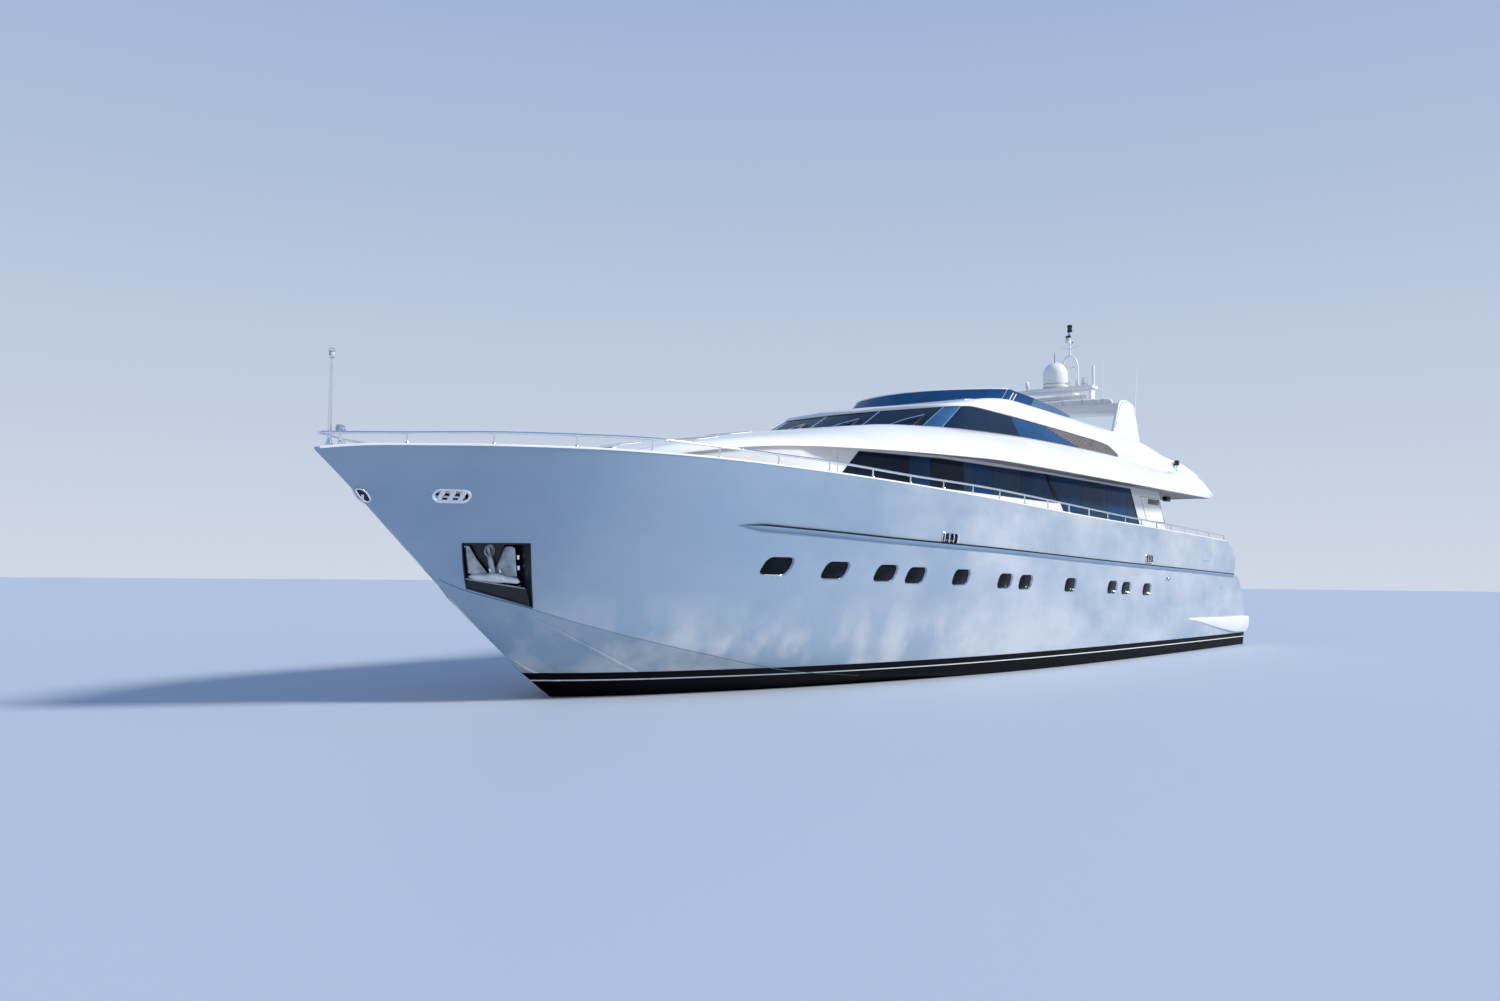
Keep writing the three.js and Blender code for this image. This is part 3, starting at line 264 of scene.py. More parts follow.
def hull_paint():
    """Metallic silver topsides over a dark boot-top with a white pinstripe; big soft clouds in the silver are
    a painted reflection of the sky, the bow darkens as painted shade, and pale patches lie low on the forward
    topsides.
    """
    silver, painted_reflection_dark, night = (0.60, 0.63, 0.67), (0.36, 0.44, 0.53), (0.001, 0.0015, 0.003)
    painted_bow_shade, pale_patch_colour = (0.26, 0.37, 0.49), (0.66, 0.67, 0.68)
    stripe_white = (0.75, 0.76, 0.74)
    material = node_finish("silver hull paint", "silver_paint", silver, 0.3, 0.45, coat_weight=0.6,
        coat_roughness=0.06, specular_ior_level=0.06)
    wires = Wiring(material)
    split = wires.add("ShaderNodeSeparateXYZ", {0: wires.place})
    x, z = split.outputs["X"], split.outputs["Z"]
    boot_top = wires.between(x, -14, 12, 0.37, 0.405)
    stripe_low = wires.math("SUBTRACT", boot_top, 0.135)
    stripe_high = wires.math("SUBTRACT", boot_top, 0.115)
    below = wires.math("LESS_THAN", z, boot_top)
    stripe = wires.math("MULTIPLY", wires.math("GREATER_THAN", z, stripe_low),
        wires.math("LESS_THAN", z, stripe_high))
    # Painted reflection: big soft clouds of a darker blue-grey laid over the silver.
    clouds = wires.noise(0.30, 5, (1, 1, 2.0), 0.6)
    silver_tone = wires.mix(wires.between(clouds, 0.38, 0.62, 0, 1), painted_reflection_dark, silver)
    # Pale patches low on the forward topsides.
    pale_low_patches = wires.math("MULTIPLY", wires.between(wires.noise(1.1, 4, (1, 1, 0.7), 0.5), 0.46, 0.64, 0, 1),
        wires.math("MULTIPLY", wires.between(z, 0.8, 1.7, 0.8, 0), wires.between(x, -3, 5, 0.1, 1)))
    # Painted shade: the silver turns darker and bluer toward the bow flare.
    silver_tone = wires.mix(wires.between(x, 3.5, 9.5, 0, 0.8), silver_tone, painted_bow_shade)
    silver_tone = wires.mix(pale_low_patches, silver_tone, pale_patch_colour)
    wires.feed("Base Color", wires.mix(stripe, wires.mix(below, silver_tone, night), stripe_white))
    wires.feed("Metallic", wires.between(below, 0, 1, 0.45, 0))
    wires.feed("Coat Weight", wires.between(below, 0, 1, 0.5, 0))
    fine = wires.noise(900, 1)
    wires.feed("Roughness", wires.math("ADD", wires.between(fine, 0.3, 0.7, 0.24, 0.34), wires.math(
        "MULTIPLY", below, 0.25)))
    wires.bump(fine, 0.0001, 0.3)
    return material


silver_hull = hull_paint()
white = worn(node_finish("white gelcoat", "white_gelcoat", (0.80, 0.80, 0.78), 0.22, coat_weight=0.4,
    coat_roughness=0.05), 1.2, 0.025, 700, 0.0001, 0.05)
black = worn(node_finish("black lining", "dark_strake", (0.006, 0.008, 0.012), 0.25), 3, 0.2, 200)


def make(name, parts, body="yacht", crease=32):
    """A piece from (points, faces, material) parts, smooth but for edges sharper than the crease."""
    mesh = bpy.data.meshes.new(name)
    points, faces, kinds, materials = [], [], [], []
    for part_points, part_faces, material in parts:
        start = len(points)
        points.extend(tuple(p) for p in part_points)
        faces.extend([start + i for i in face] for face in part_faces)
        if material not in materials:
            materials.append(material)
        kinds.extend([materials.index(material)] * len(part_faces))
    mesh.from_pydata(points, [], faces)
    for material in materials:
        mesh.materials.append(material)
    mesh.polygons.foreach_set("material_index", kinds)
    return settle(name, mesh, body, crease)


def face_out(mesh, solid=False):
    """Turns the faces outward; a solid's volume then tells whether outward is right."""
    shape = bmesh.new()
    shape.from_mesh(mesh)
    bmesh.ops.recalc_face_normals(shape, faces=shape.faces)
    if solid and shape.calc_volume(signed=True) < 0:
        bmesh.ops.reverse_faces(shape, faces=shape.faces)
    shape.to_mesh(mesh)
    shape.free()


def settle(name, mesh, body="yacht", crease=32):
    """Puts a mesh in the scene, faces out, and lets it ride on its body."""
    face_out(mesh)
    mesh.shade_smooth()
    mesh.set_sharp_from_angle(angle=math.radians(crease))
    piece = bpy.data.objects.new(name, mesh)
    bpy.context.scene.collection.objects.link(piece)
    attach(piece, body)
    return piece


def loft(rings, material, closed=True, capped=True):
    """A skin through rings of like points."""
    count = len(rings[0])
    points = [tuple(p) for ring in rings for p in ring]
    faces = []
    for i in range(len(rings) - 1):
        for j in range(count if closed else count - 1):
            k = (j + 1) % count
            faces.append([i * count + j, i * count + k, (i + 1) * count + k, (i + 1) * count + j])
    if capped:
        faces.append(list(range(count)))
        faces.append(list(range(len(points) - count, len(points)))[::-1])
    return points, faces, material


def mirrored(part):
    """The same part on the other side."""
    points, faces, material = part
    return [(x, -y, z) for x, y, z in points], [list(reversed(f)) for f in faces], material


def both(parts):
    """The parts and the same ones on the other side."""
    return parts + [mirrored(part) for part in parts]


def pair(name, parts, node=None, body=None, crease=32):
    """A port and a starboard piece, each on its own side's body and in place of its own side's node."""
    for side, own in (("port", parts), ("starboard", [mirrored(part) for part in parts])):
        piece = make(f"{name}_{side}", own, f"{body}_{side}" if body else "yacht", crease)
        if node:
            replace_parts(piece, f"{node}_{side}")


def circle(count, closed=False):
    """Angles that step once round, with the first again at the end of a closed line."""
    return [2 * math.pi * k / count for k in range(count + closed)]


def side_prism(outline, y0, y1, material):
    """A side view, [station, z] points, given a width."""
    return loft([[(at(s), y, z) for s, z in outline] for y in (y0, y1)], material)


def carve(mesh, *cutters):
    """Takes solids out of a mesh; the new faces keep the cutters' materials."""
    face_out(mesh, solid=True)
    piece = bpy.data.objects.new("carved", mesh)
    bpy.context.scene.collection.objects.link(piece)
    tools = []
    for points, faces, material in cutters:
        cutter_mesh = bpy.data.meshes.new("cutter")
        cutter_mesh.from_pydata([tuple(p) for p in points], [], faces)
        cutter_mesh.materials.append(material)
        face_out(cutter_mesh, solid=True)
        tool = bpy.data.objects.new("cutter", cutter_mesh)
        bpy.context.scene.collection.objects.link(tool)
        tools.append(tool)
        cut = piece.modifiers.new("cut", "BOOLEAN")
        cut.operation = "DIFFERENCE"
        cut.solver = "EXACT"
        cut.material_mode = "TRANSFER"
        cut.object = tool
    evaluated = piece.evaluated_get(bpy.context.evaluated_depsgraph_get())
    result = bpy.data.meshes.new_from_object(evaluated)
    for tool in tools:
        bpy.data.objects.remove(tool)
    bpy.data.objects.remove(piece)
    return result


def hull_ring(station, bottom_steps=6, side_steps=26):
    half = [(hull_line(CHINE_Y, station) * k / bottom_steps) for k in range(bottom_steps + 1)]
    half = [(y, bottom_z(station, y)) for y in half]
    chine_z, sheer_z = hull_line(CHINE_Z, station), hull_line(SHEER_Z, station)
    for k in range(1, side_steps + 1):
        z = chine_z + (sheer_z - chine_z) * (k / side_steps) ** 2.2
        half.append((topside_y(station, z), z))
    x = at(station)
    return [(x, y, z) for y, z in half] + [(x, -y, z) for y, z in half[:0:-1]]


def skin(station, z, out=0.0):
    """A point on the port topside, moved out along the surface's own normal."""
    step = 0.02
    here = Vector((at(station), topside_y(station, z), z))
    aft = Vector((at(station + step), topside_y(station + step, z), z)) - here
    above = Vector((at(station), topside_y(station, z + step), z + step)) - here
    return here + aft.cross(above).normalized() * out


def rounded(width, height, corner, lean=0.0, steps=6):
    """A rounded rectangle about (0, 0) as (aft, up) points; a lean moves its head aft."""
    points = []
    for quadrant, (sign_x, sign_y) in enumerate(((1, 1), (-1, 1), (-1, -1), (1, -1))):
        for k in range(steps + 1):
            angle = math.pi / 2 * (quadrant + k / steps)
            x = sign_x * (width / 2 - corner) + corner * math.cos(angle)
            y = sign_y * (height / 2 - corner) + corner * math.sin(angle)
            points.append((x + lean * y, y))
    return points


def hugging(station, z, outline, levels, material):
    """A skin through copies of an outline laid on the port topside, each level (height above it, scale)."""
    rings = [[skin(station + a * scale, z + b * scale, out) for a, b in outline] for out, scale in levels]
    return loft(rings, material)


def joined(parts):
    """Several parts of one material as one."""
    points, faces = [], []
    for part_points, part_faces, material in parts:
        start = len(points)
        points += part_points
        faces += [[start + i for i in face] for face in part_faces]
    return points, faces, material


hull_stations = list(np.linspace(0, 1.96, 12)) + list(np.linspace(2.15, 30.5, 112))
hull_mesh = bpy.data.meshes.new("hull lay-up")
hull_points, hull_faces, _ = loft([hull_ring(s) for s in hull_stations], silver_hull)
hull_mesh.from_pydata(hull_points, [], hull_faces)
hull_mesh.materials.append(silver_hull)


def well_ring(station):
    x, deck = at(station), deck_z(station)
    foot = topside_y(station, deck) - bulwark
    head = hull_line(SHEER_Y, station) - bulwark
    sheer = hull_line(SHEER_Z, station)
    return [(x, -foot, deck), (x, foot, deck), (x, head, sheer), (x, head, 5), (x, -head, 5),
        (x, -head, sheer)]


deck_well = loft([well_ring(s) for s in [*np.linspace(1.08, 28.2, 70), 31.5]], white)

# side views of what is cut away: the quarters, the transom between the stairs, and the stairs
platform_z = 0.86
quarter_line = [(28.15, 3.60), (28.20, 3.16), (28.32, 3.12), (28.60, 3.03), (28.80, 2.95), (28.95, 2.83),
    (29.12, 2.68), (29.20, 2.53), (29.20, 2.42), (29.10, 2.30), (28.98, 2.14), (29.30, 2.12), (29.55, 2.06),
    (29.75, 1.90), (29.95, 1.65), (30.15, 1.38), (30.30, 1.15), (30.40, 0.98), (30.43, 0.86), (30.43, -2.5),
    (33, -2.5), (33, 3.6)]
transom_top, transom_foot = (28.5, 2.6), (29.95, platform_z)
stair_top, stair_run, stair_count = 28.3, 0.4, 5
stair_inner_y, stair_outer_y = 1.70, 2.98
stair_rise = (deck_z(stair_top) - platform_z) / stair_count
stair_line = [(stair_top, 3.6)]
for step in range(1, stair_count + 1):
    tread_z = deck_z(stair_top) - step * stair_rise
    stair_line.append((stair_top + (step - 1) * stair_run, tread_z))
    if step < stair_count:
        stair_line.append((stair_top + step * stair_run, tread_z))
stair_line += [(33, platform_z), (33, 3.6)]
stair_cut = side_prism(stair_line, stair_inner_y, stair_outer_y, white)
seat_z = platform_z - 0.003
transom_cut = side_prism([(28.5, 3.6), transom_top, (transom_foot[0], seat_z), (33, seat_z), (33, 3.6)],
    -stair_inner_y - 0.001, stair_inner_y + 0.001, silver_hull)


def block(s0, s1, y0, y1, z0, z1, material):
    return side_prism([(s0, z0), (s1, z0), (s1, z1), (s0, z1)], y0, y1, material)


garage_half, garage_floor_z, garage_ceiling_z = 1.456, 0.945, 2.2
garage_cut = block(25.5, 31, -garage_half, garage_half, garage_floor_z, garage_ceiling_z, white)
engine_cut = block(20.5, 25.6, -2.0, 2.0, -0.6, garage_ceiling_z, white)
saloon_cut = block(9.0, 23.4, -2.42, 2.42, 2.25, 3.6, white)
locker_cut = block(3.2, 3.8, -0.28, 0.28, 2.3, 4.0, white)

pocket_corners = [(2.04, 2.33), (2.74, 2.34), (3.04, 1.43), (2.30, 1.70)]
pocket_depth = 0.34


def pocket_ring(depth):
    return [(at(s), topside_y(s, z) - depth, z) for s, z in pocket_corners]


pocket_cut = loft([pocket_ring(-0.1), pocket_ring(pocket_depth)], black)

gate_from, gate_to, gate_sill, gate_clear, gate_swing = 25.72, 26.52, 0.06, 0.008, 0.014
gate_foot_z = deck_z(gate_from) + gate_sill
gate_cut = block(gate_from - gate_clear, gate_to + gate_swing, 2.5, 4, gate_foot_z - gate_clear, 3.6, white)

port_holes = [  # station and height of each port's middle
    (6.60, 2.07), (7.90, 2.02), (9.21, 1.99), (10.10, 1.96), (11.62, 1.94), (13.35, 1.88), (14.25, 1.86),
    (16.47, 1.81), (18.91, 1.76), (19.80, 1.74), (21.24, 1.71),
]
port_outline = rounded(0.61, 0.31, 0.125, 0.30, 7)
port_sink = 0.045
port_cut = joined([hugging(s, z, port_outline, [(0.03, 1.05), (0, 1), (-port_sink, 0.90)], silver_hull)
    for s, z in port_holes])

fairleads = [  # station, height, width, height of the mouth, corner, lean, roller's radius
    (1.65, 2.97, 0.44, 0.19, 0.094, -0.35, 0.045),
    (10.99, 2.66, 0.60, 0.24, 0.085, 0.0, 0.016),
    (21.32, 2.48, 0.60, 0.24, 0.085, 0.0, 0.016),
]
fairlead_cut = joined([hugging(s, z, rounded(w - 0.05, h - 0.05, c - 0.025, lean), [(0.03, 1), (-0.09, 1)],
    black) for s, z, w, h, c, lean, _ in fairleads])

hull_mesh = carve(
    hull_mesh, deck_well, side_prism(quarter_line, -4, 4, silver_hull), transom_cut, stair_cut,
    mirrored(stair_cut), garage_cut, engine_cut, saloon_cut, locker_cut, pocket_cut, mirrored(pocket_cut),
    gate_cut, mirrored(gate_cut), port_cut, mirrored(port_cut), fairlead_cut, mirrored(fairlead_cut))
hull = settle("hull_layup", hull_mesh, crease=20)
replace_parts(hull, "hull", "hull_forepeak", "hull_stern", "bulwark_port", "bulwark_starboard")

# Spray rails: two strips on each side of the forefoot, moulded with the bottom and painted with it, that
# throw the bow wave down and outward.

spray_rails = [  # (station, half-breadth) along the bottom
    [(2.96, 0.72), (3.25, 0.81), (3.55, 0.90), (3.90, 0.965), (4.26, 1.03), (4.72, 1.07),
     (5.17, 1.10), (5.9, 1.14)],
    [(3.37, 0.04), (3.60, 0.11), (3.81, 0.19), (4.20, 0.33), (4.70, 0.47), (5.40, 0.60)],
]
spray_width, spray_proud = 0.075, 0.028


def spray_strip(line):
    rings = []
    for k, (s, y) in enumerate(line):
        end = k in (0, len(line) - 1)
        proud = 0.004 if end else spray_proud
        root, lip = max(y - spray_width, 0.004), y
        rings.append([(at(s), root, bottom_z(s, root) + 0.03), (at(s), root, bottom_z(s, root) - 0.002),
            (at(s), lip, bottom_z(s, lip) - proud), (at(s), lip + proud * 0.5, bottom_z(s, lip) + 0.004),
            (at(s), lip, bottom_z(s, lip) + 0.03)])
    return loft(rings, silver_hull)


strips = [spray_strip(line) for line in spray_rails]
make("spray_rails", both(strips))

# Quarter fairings: white mouldings that carry the swim platform's line forward along the topsides, with a
# sharp upper edge that fades into the hull.

fairing_rows = [  # station, proud of the topside, lowest z, highest z
    (24.70, 0.004, 0.885, 0.925),
    (25.60, 0.022, 0.800, 0.916),
    (27.00, 0.060, 0.640, 0.900),
    (28.20, 0.090, 0.515, 0.893),
    (29.00, 0.110, 0.440, 0.890),
    (29.90, 0.130, 0.410, 0.884),
    (30.42, 0.138, 0.402, 0.880),
]
fairing_steps = 10


def fairing_ring(s):
    proud, low, high = (smooth(fairing_rows, k, s) for k in (1, 2, 3))
    ring = [(at(s), topside_y(s, low) - 0.12, low)]
    for k in range(fairing_steps + 1):
        part = k / fairing_steps
        z = low + (high - low) * part
        bulge = math.sin(math.pi * min(part * 0.62 + 0.10, 0.62)) ** 0.55
        ring.append((at(s), topside_y(s, z) + proud * bulge * (1 if part < 0.93 else 0.86), z))
    return ring + [(at(s), topside_y(s, high) - 0.12, high)]


fairing = loft([fairing_ring(s) for s in np.linspace(24.7, 30.42, 40)], white)
make("quarter_fairings", both([fairing]))

# Rub rails: a moulded step along each topside, its silver tinted blue as a painted reflection of the water,
# with a dark rubber insert let into its upper edge, darkened as painted shade, tapering in at its forward
# end.

rub_line = [  # station, z
    (5.60, 2.690), (7.26, 2.630), (9.37, 2.560), (12.96, 2.480), (18.02, 2.350), (23.73, 2.230),
    (28.95, 2.120),
]
rub_half, rub_proud, rub_taper = 0.055, 0.045, 0.5
# The rubber is darkened past its own colour as painted shade; the moulding's silver is tinted blue as a
# painted reflection.
rubber_and_shade_dark = worn(node_finish("dark blue rubber and painted shade", "dark_strake", (0.002, 0.007, 0.018), 0.55,
    specular_ior_level=0.2), 4, 0.15, 300)
blue_reflection_silver = worn(node_finish("silver moulding, painted blue reflection", "silver_paint", (0.22, 0.33, 0.47), 0.3, 0.4,
    coat_weight=0.4), 1.5, 0.05, 600, 0.0001)


def rub_ring(s, outline):
    grow = min((s - rub_line[0][0]) / rub_taper + 0.12, 1)
    z = smooth(rub_line, 1, s)
    return [(at(s), topside_y(s, z + up * rub_half * grow) + out * rub_proud * grow,
        z + up * rub_half * grow) for up, out in outline]


rub_body = [(-1, -0.4), (-1, 0.05), (-0.75, 0.5), (-0.3, 0.82), (0.2, 0.9), (0.62, 0.85), (0.7, 0.75),
    (0.7, -0.4)]
rub_insert = [(0.5, -0.3), (0.46, 0.9), (0.62, 1.0), (0.86, 0.98), (1.0, 0.7), (1.0, -0.3)]
rub_stations = [*np.linspace(5.60, 6.2, 8), *np.linspace(6.5, 28.93, 90)]
# The band's blue is a painted reflection of the water; the insert's near-black is partly rubber and partly
# painted shade along the rail's upper edge.
parts = [loft([rub_ring(s, rub_body) for s in rub_stations], blue_reflection_silver),
    loft([rub_ring(s, rub_insert) for s in rub_stations], rubber_and_shade_dark)]
pair("rub_rail_moulding", parts, "rub_rail")

# Portholes: eleven on each side, leaning aft like the rest of the boat. Each is a recess in the moulding with
# a black tempered pane bedded at its foot and a thin polished crescent in the lower after corner, a painted
# highlight for the lit sill of the recess.

black_glass = worn(node_finish("black port glass", "tinted_glass", (0.002, 0.004, 0.008), 0.06,
    specular_ior_level=0.08), 5, 0.2, 500, 0.00005, 0.02)
steel = worn(node_finish("polished stainless steel", "polished_steel", (0.72, 0.73, 0.74), 0.12, 1.0), 9,
    0.04, 400, 0.00006, 0.05)


port_panes = joined([hugging(s, z, port_outline,
    [(-port_sink - 0.004, 0.93), (0.012 - port_sink, 0.93), (0.016 - port_sink, 0.90)], black_glass)
    for s, z in port_holes])
crescent_points = 9


def sill_highlight_crescent(s, z):
    """A thin polished crescent in the lower aft corner of a recess, a painted highlight for its lit sill."""
    edge = port_outline[14:15 + 2 * crescent_points]
    rings = []
    for k, (a, b) in enumerate(edge):
        swell = math.sin(math.pi * k / (len(edge) - 1))
        rings.append([skin(s + a * f, z + b * f, out) for out, f in (
            (-0.004, 0.995), (-0.030, 0.94), (-0.030, 0.94 - 0.05 * swell), (-0.004 - 0.012 * swell, 0.97))])
    return loft(rings, steel)


port_sill_highlights = joined([sill_highlight_crescent(s, z) for s, z in port_holes])
make("portholes", [port_panes, mirrored(port_panes), port_sill_highlights, mirrored(port_sill_highlights)])

# Fairleads: cast stainless frames set in the topsides for the mooring lines, each with three upright
# rollers, one long one at the bow and two squarer ones along each side; and a towing eye on each side of the
# stem.

chrome = worn(node_finish("mirror-polished steel", "polished_steel", (0.86, 0.87, 0.88), 0.05, 1.0), 9,
    0.02, 300, 0.00004, 0.03)


def rod(points, radius, material, sides=12, capped=True):
    """A tube along points, its section carried along without twist; a list of radii goes point by point."""
    points = [Vector(p) for p in points]
    radii = radius if isinstance(radius, (list, tuple)) else [radius] * len(points)
    rings, across = [], None
    for i, point in enumerate(points):
        ahead = (points[min(i + 1, len(points) - 1)] - points[max(i - 1, 0)]).normalized()
        if across is None:
            across = ahead.orthogonal().normalized()
        across = (across - ahead * across.dot(ahead)).normalized()
        side = ahead.cross(across)
        rings.append([point + (across * math.cos(a) + side * math.sin(a)) * radii[i]
            for a in circle(sides)])
    return loft(rings, material, capped=capped)


def tube(points, radius, material, sides=12):
    """A rod through [station, y, z] points."""
    return rod([(at(s), y, z) for s, y, z in points], radius, material, sides)


def fairlead(station, z, width, height, corner, lean, roller):
    """The frame's rounded section is laid round the mouth; the rollers stand inside it."""
    parts = []
    outline = rounded(width, height, corner, lean)
    inner = rounded(width - 0.07, height - 0.07, corner - 0.035, lean)
    sections = [(0, -0.004), (0.0, 0.010), (0.28, 0.019), (0.62, 0.016), (1.0, 0.002), (1.0, -0.05)]
    rings = [[skin(station + a + (c - a) * part, z + b + (d - b) * part, out)
        for (a, b), (c, d) in zip(outline, inner)] for part, out in sections]
    parts.append(loft(rings, chrome, capped=False))
    for place in (-0.27, 0.0, 0.27):
        s = station + place * width
        half = height / 2 - 0.03
        parts.append(rod([skin(s, z - half, -0.03), skin(s, z - half * 0.4, -0.018),
            skin(s, z + half * 0.4, -0.018), skin(s, z + half, -0.03)],
            [roller, roller * 0.9, roller * 0.9, roller], chrome))
    parts.append(rod([skin(station - width * 0.38, z - height * 0.2, -0.055),
        skin(station + width * 0.38, z - height * 0.2, -0.055)], 0.018, steel))
    return parts


parts = [part for row in fairleads for part in fairlead(*row)]
towing_eye_z, towing_eye_half, towing_eye_width = 2.95, 0.085, 0.12


def stem_station(z):
    """Where the stem's line reaches a height."""
    low, high = 0.0, 6.0
    while high - low > 0.0005:
        middle = (low + high) / 2
        low, high = (middle, high) if hull_line(KEEL_Z, middle) > z else (low, middle)
    return low


eye_s = stem_station(towing_eye_z) + 0.055
eye_line = rounded(towing_eye_width, 2 * towing_eye_half, towing_eye_width / 2, -0.9, 5)
eye_parts = [rod([skin(eye_s + a, towing_eye_z + b, 0.006) for a, b in eye_line + eye_line[:1]], 0.015,
    chrome), hugging(eye_s, towing_eye_z, eye_line, ((-0.01, 1.0), (0.004, 1.0), (0.006, 0.9)), black),
    rod([skin(eye_s, towing_eye_z - 0.05, 0.012), skin(eye_s - 0.01, towing_eye_z + 0.03, 0.03)], 0.022,
    chrome)]
parts += eye_parts
make("fairleads", both(parts))

# Chine lines: a fine moulded edge along each chine, from the stem to where the topsides grow flat, dark as a
# painted shade line along the crease.

chine_shade_dark = worn(node_finish("chine edge, painted shade line", "silver_paint", (0.09, 0.13, 0.18), 0.6), 3, 0.05, 300)
chine_line = tube([(s, hull_line(CHINE_Y, s) + 0.002, hull_line(CHINE_Z, s))
    for s in np.linspace(1.98, 9.5, 60)], 0.006, chine_shade_dark, 6)
make("chine_lines", both([chine_line]))

# Engine-room breathers: two small slanted chrome outlets on each side, aft of the ports.

parts = []
for s in (22.68, 22.84):
    parts.append(rod([skin(s - 0.03, 1.90, -0.01), skin(s, 1.95, 0.016), skin(s + 0.035, 2.01, 0.020),
        skin(s + 0.05, 2.05, -0.01)], [0.014, 0.020, 0.020, 0.012], steel))
    parts.append(rod([skin(s + 0.012, 1.965, 0.030), skin(s + 0.028, 2.0, 0.034)], 0.010, black))
make("breathers", both(parts))

# Anchor pockets and anchors: a black-painted recess in each bow with a rubber lip round its mouth. The
# anchor's galvanised flukes lie against the back wall, its crown hangs at the foot in a lighter copy of the
# zinc that is a painted highlight, and the shank runs up into the hawse pipe. A sill below catches what the
# anchor drops.

galvanised = worn(node_finish("galvanised casting", "polished_steel", (0.42, 0.45, 0.48), 0.42, 0.5), 7,
    0.18, 60, 0.001, 0.12)
pocket_rim_width, pocket_rim_proud = 0.022, 0.004


def in_pocket(across, down, depth):
    """A point in the pocket: across from 0 forward to 1 aft, down from 0 at its head to 1 at its foot."""
    (s0, z0), (s1, z1), (s2, z2), (s3, z3) = pocket_corners
    s = (s0 * (1 - across) + s1 * across) * (1 - down) + (s3 * (1 - across) + s2 * across) * down
    z = (z0 * (1 - across) + z1 * across) * (1 - down) + (z3 * (1 - across) + z2 * across) * down
    return Vector((at(s), topside_y(s, z) - depth, z))


def slab(front, thickness, material):
    """A plate from a front face's points and a thickness inboard."""
    front = [Vector(p) for p in front]
    back = [p - Vector((0, thickness, 0)) for p in front]
    return loft([front, back], material)


rim_corners = [(0, 0), (1, 0), (1, 1), (0, 1), (0, 0)]
rim_path = [in_pocket(a + (c - a) * k / 6, b + (d - b) * k / 6, -pocket_rim_proud)
    for (a, b), (c, d) in zip(rim_corners, rim_corners[1:]) for k in range(6)]
parts = [rod(rim_path + rim_path[:1], pocket_rim_width / 2, black, 8)]
sill = [in_pocket(*p) for p in ((0.01, 0.76, 0.10), (0.99, 0.70, 0.10), (0.99, 1.0, 0.02), (0.01, 1.0, 0.02))]
parts.append(loft([sill, [in_pocket(*p) for p in ((0.01, 0.74, 0.33), (0.99, 0.68, 0.33), (0.99, 1.0, 0.33),
    (0.01, 1.0, 0.33))]], black))
parts.append(rod([in_pocket(0.03, 0.765, 0.10), in_pocket(0.97, 0.705, 0.10)], 0.012, galvanised, 8))
for down in (0.17, 0.34, 0.66):
    parts.append(rod([in_pocket(0.93, down, 0.16), in_pocket(0.93, down + 0.07, 0.16)], [0.026, 0.020],
        chrome, 8))
parts.append(rod([in_pocket(0.07, 0.04, 0.05), in_pocket(0.07, 0.07, 0.05)], 0.012, chrome, 8))
make("anchor_pockets", both(parts))

fluke_forward = [in_pocket(*p) for p in ((0.15, 0.07, 0.14), (0.18, 0.04, 0.17), (0.24, 0.05, 0.20),
    (0.35, 0.30, 0.22), (0.47, 0.52, 0.20), (0.47, 0.60, 0.17), (0.15, 0.62, 0.12))]
fluke_aft = [in_pocket(*p) for p in ((0.87, 0.07, 0.14), (0.84, 0.04, 0.17), (0.78, 0.05, 0.20),
    (0.69, 0.30, 0.22), (0.60, 0.50, 0.20), (0.60, 0.57, 0.17), (0.87, 0.53, 0.12))]
# The crown is a lighter copy of the galvanised finish: a painted highlight.
crown_highlight_zinc = worn(node_finish("zinc crown, painted highlight", "polished_steel", (0.72, 0.73, 0.74), 0.38, 0.35), 9,
    0.06, 120, 0.0008)
shank_foot, shank_head = in_pocket(0.54, 0.52, 0.16), in_pocket(0.545, 0.05, 0.26)
pipe_middle = in_pocket(0.545, 0.12, 0.22)
crown_rows = [  # across, down, half height, half depth
    (0.14, 0.655, 0.014, 0.020), (0.20, 0.640, 0.044, 0.040), (0.34, 0.620, 0.050, 0.045),
    (0.42, 0.600, 0.056, 0.055), (0.46, 0.580, 0.070, 0.070), (0.54, 0.575, 0.074, 0.075),
    (0.61, 0.570, 0.070, 0.070), (0.66, 0.570, 0.056, 0.055), (0.76, 0.565, 0.050, 0.045),
    (0.86, 0.565, 0.044, 0.040), (0.90, 0.575, 0.014, 0.020),
]
crown_rings = []
for across, down, half_height, half_depth in crown_rows:
    middle = in_pocket(across, down + 0.04, 0.12)
    crown_rings.append([middle + Vector((0, math.cos(a) * half_depth, math.sin(a) * half_height))
        for a in circle(14)])
parts = [
    slab(fluke_forward, 0.028, galvanised), slab(fluke_aft, 0.028, galvanised),
    rod([shank_foot, shank_foot.lerp(shank_head, 0.5), shank_head], [0.046, 0.040, 0.034], galvanised, 14),
    loft(crown_rings, crown_highlight_zinc),
    rod([in_pocket(0.47, 0.52, 0.11), in_pocket(0.47, 0.46, 0.13)], 0.016, chrome, 8),
    rod([in_pocket(0.62, 0.51, 0.11), in_pocket(0.62, 0.45, 0.13)], 0.016, chrome, 8),
]
for radius, depth in ((0.085, 0.0), (0.070, 0.02)):
    parts.append(rod([pipe_middle + Vector((math.cos(a) * radius, -depth, math.sin(a) * radius))
        for a in circle(20, True)], 0.013, galvanised, 8))
pair("bower_anchor", parts, "anchor")

# Boarding gates: a length of each bulwark hung on a forward pin, in the hull's silver inside and out, with a
# polished latch on its inner face.

gate_pin = Vector((at(gate_from + 0.01), topside_y(gate_from, deck_z(gate_from)) - bulwark + 0.008, 0))


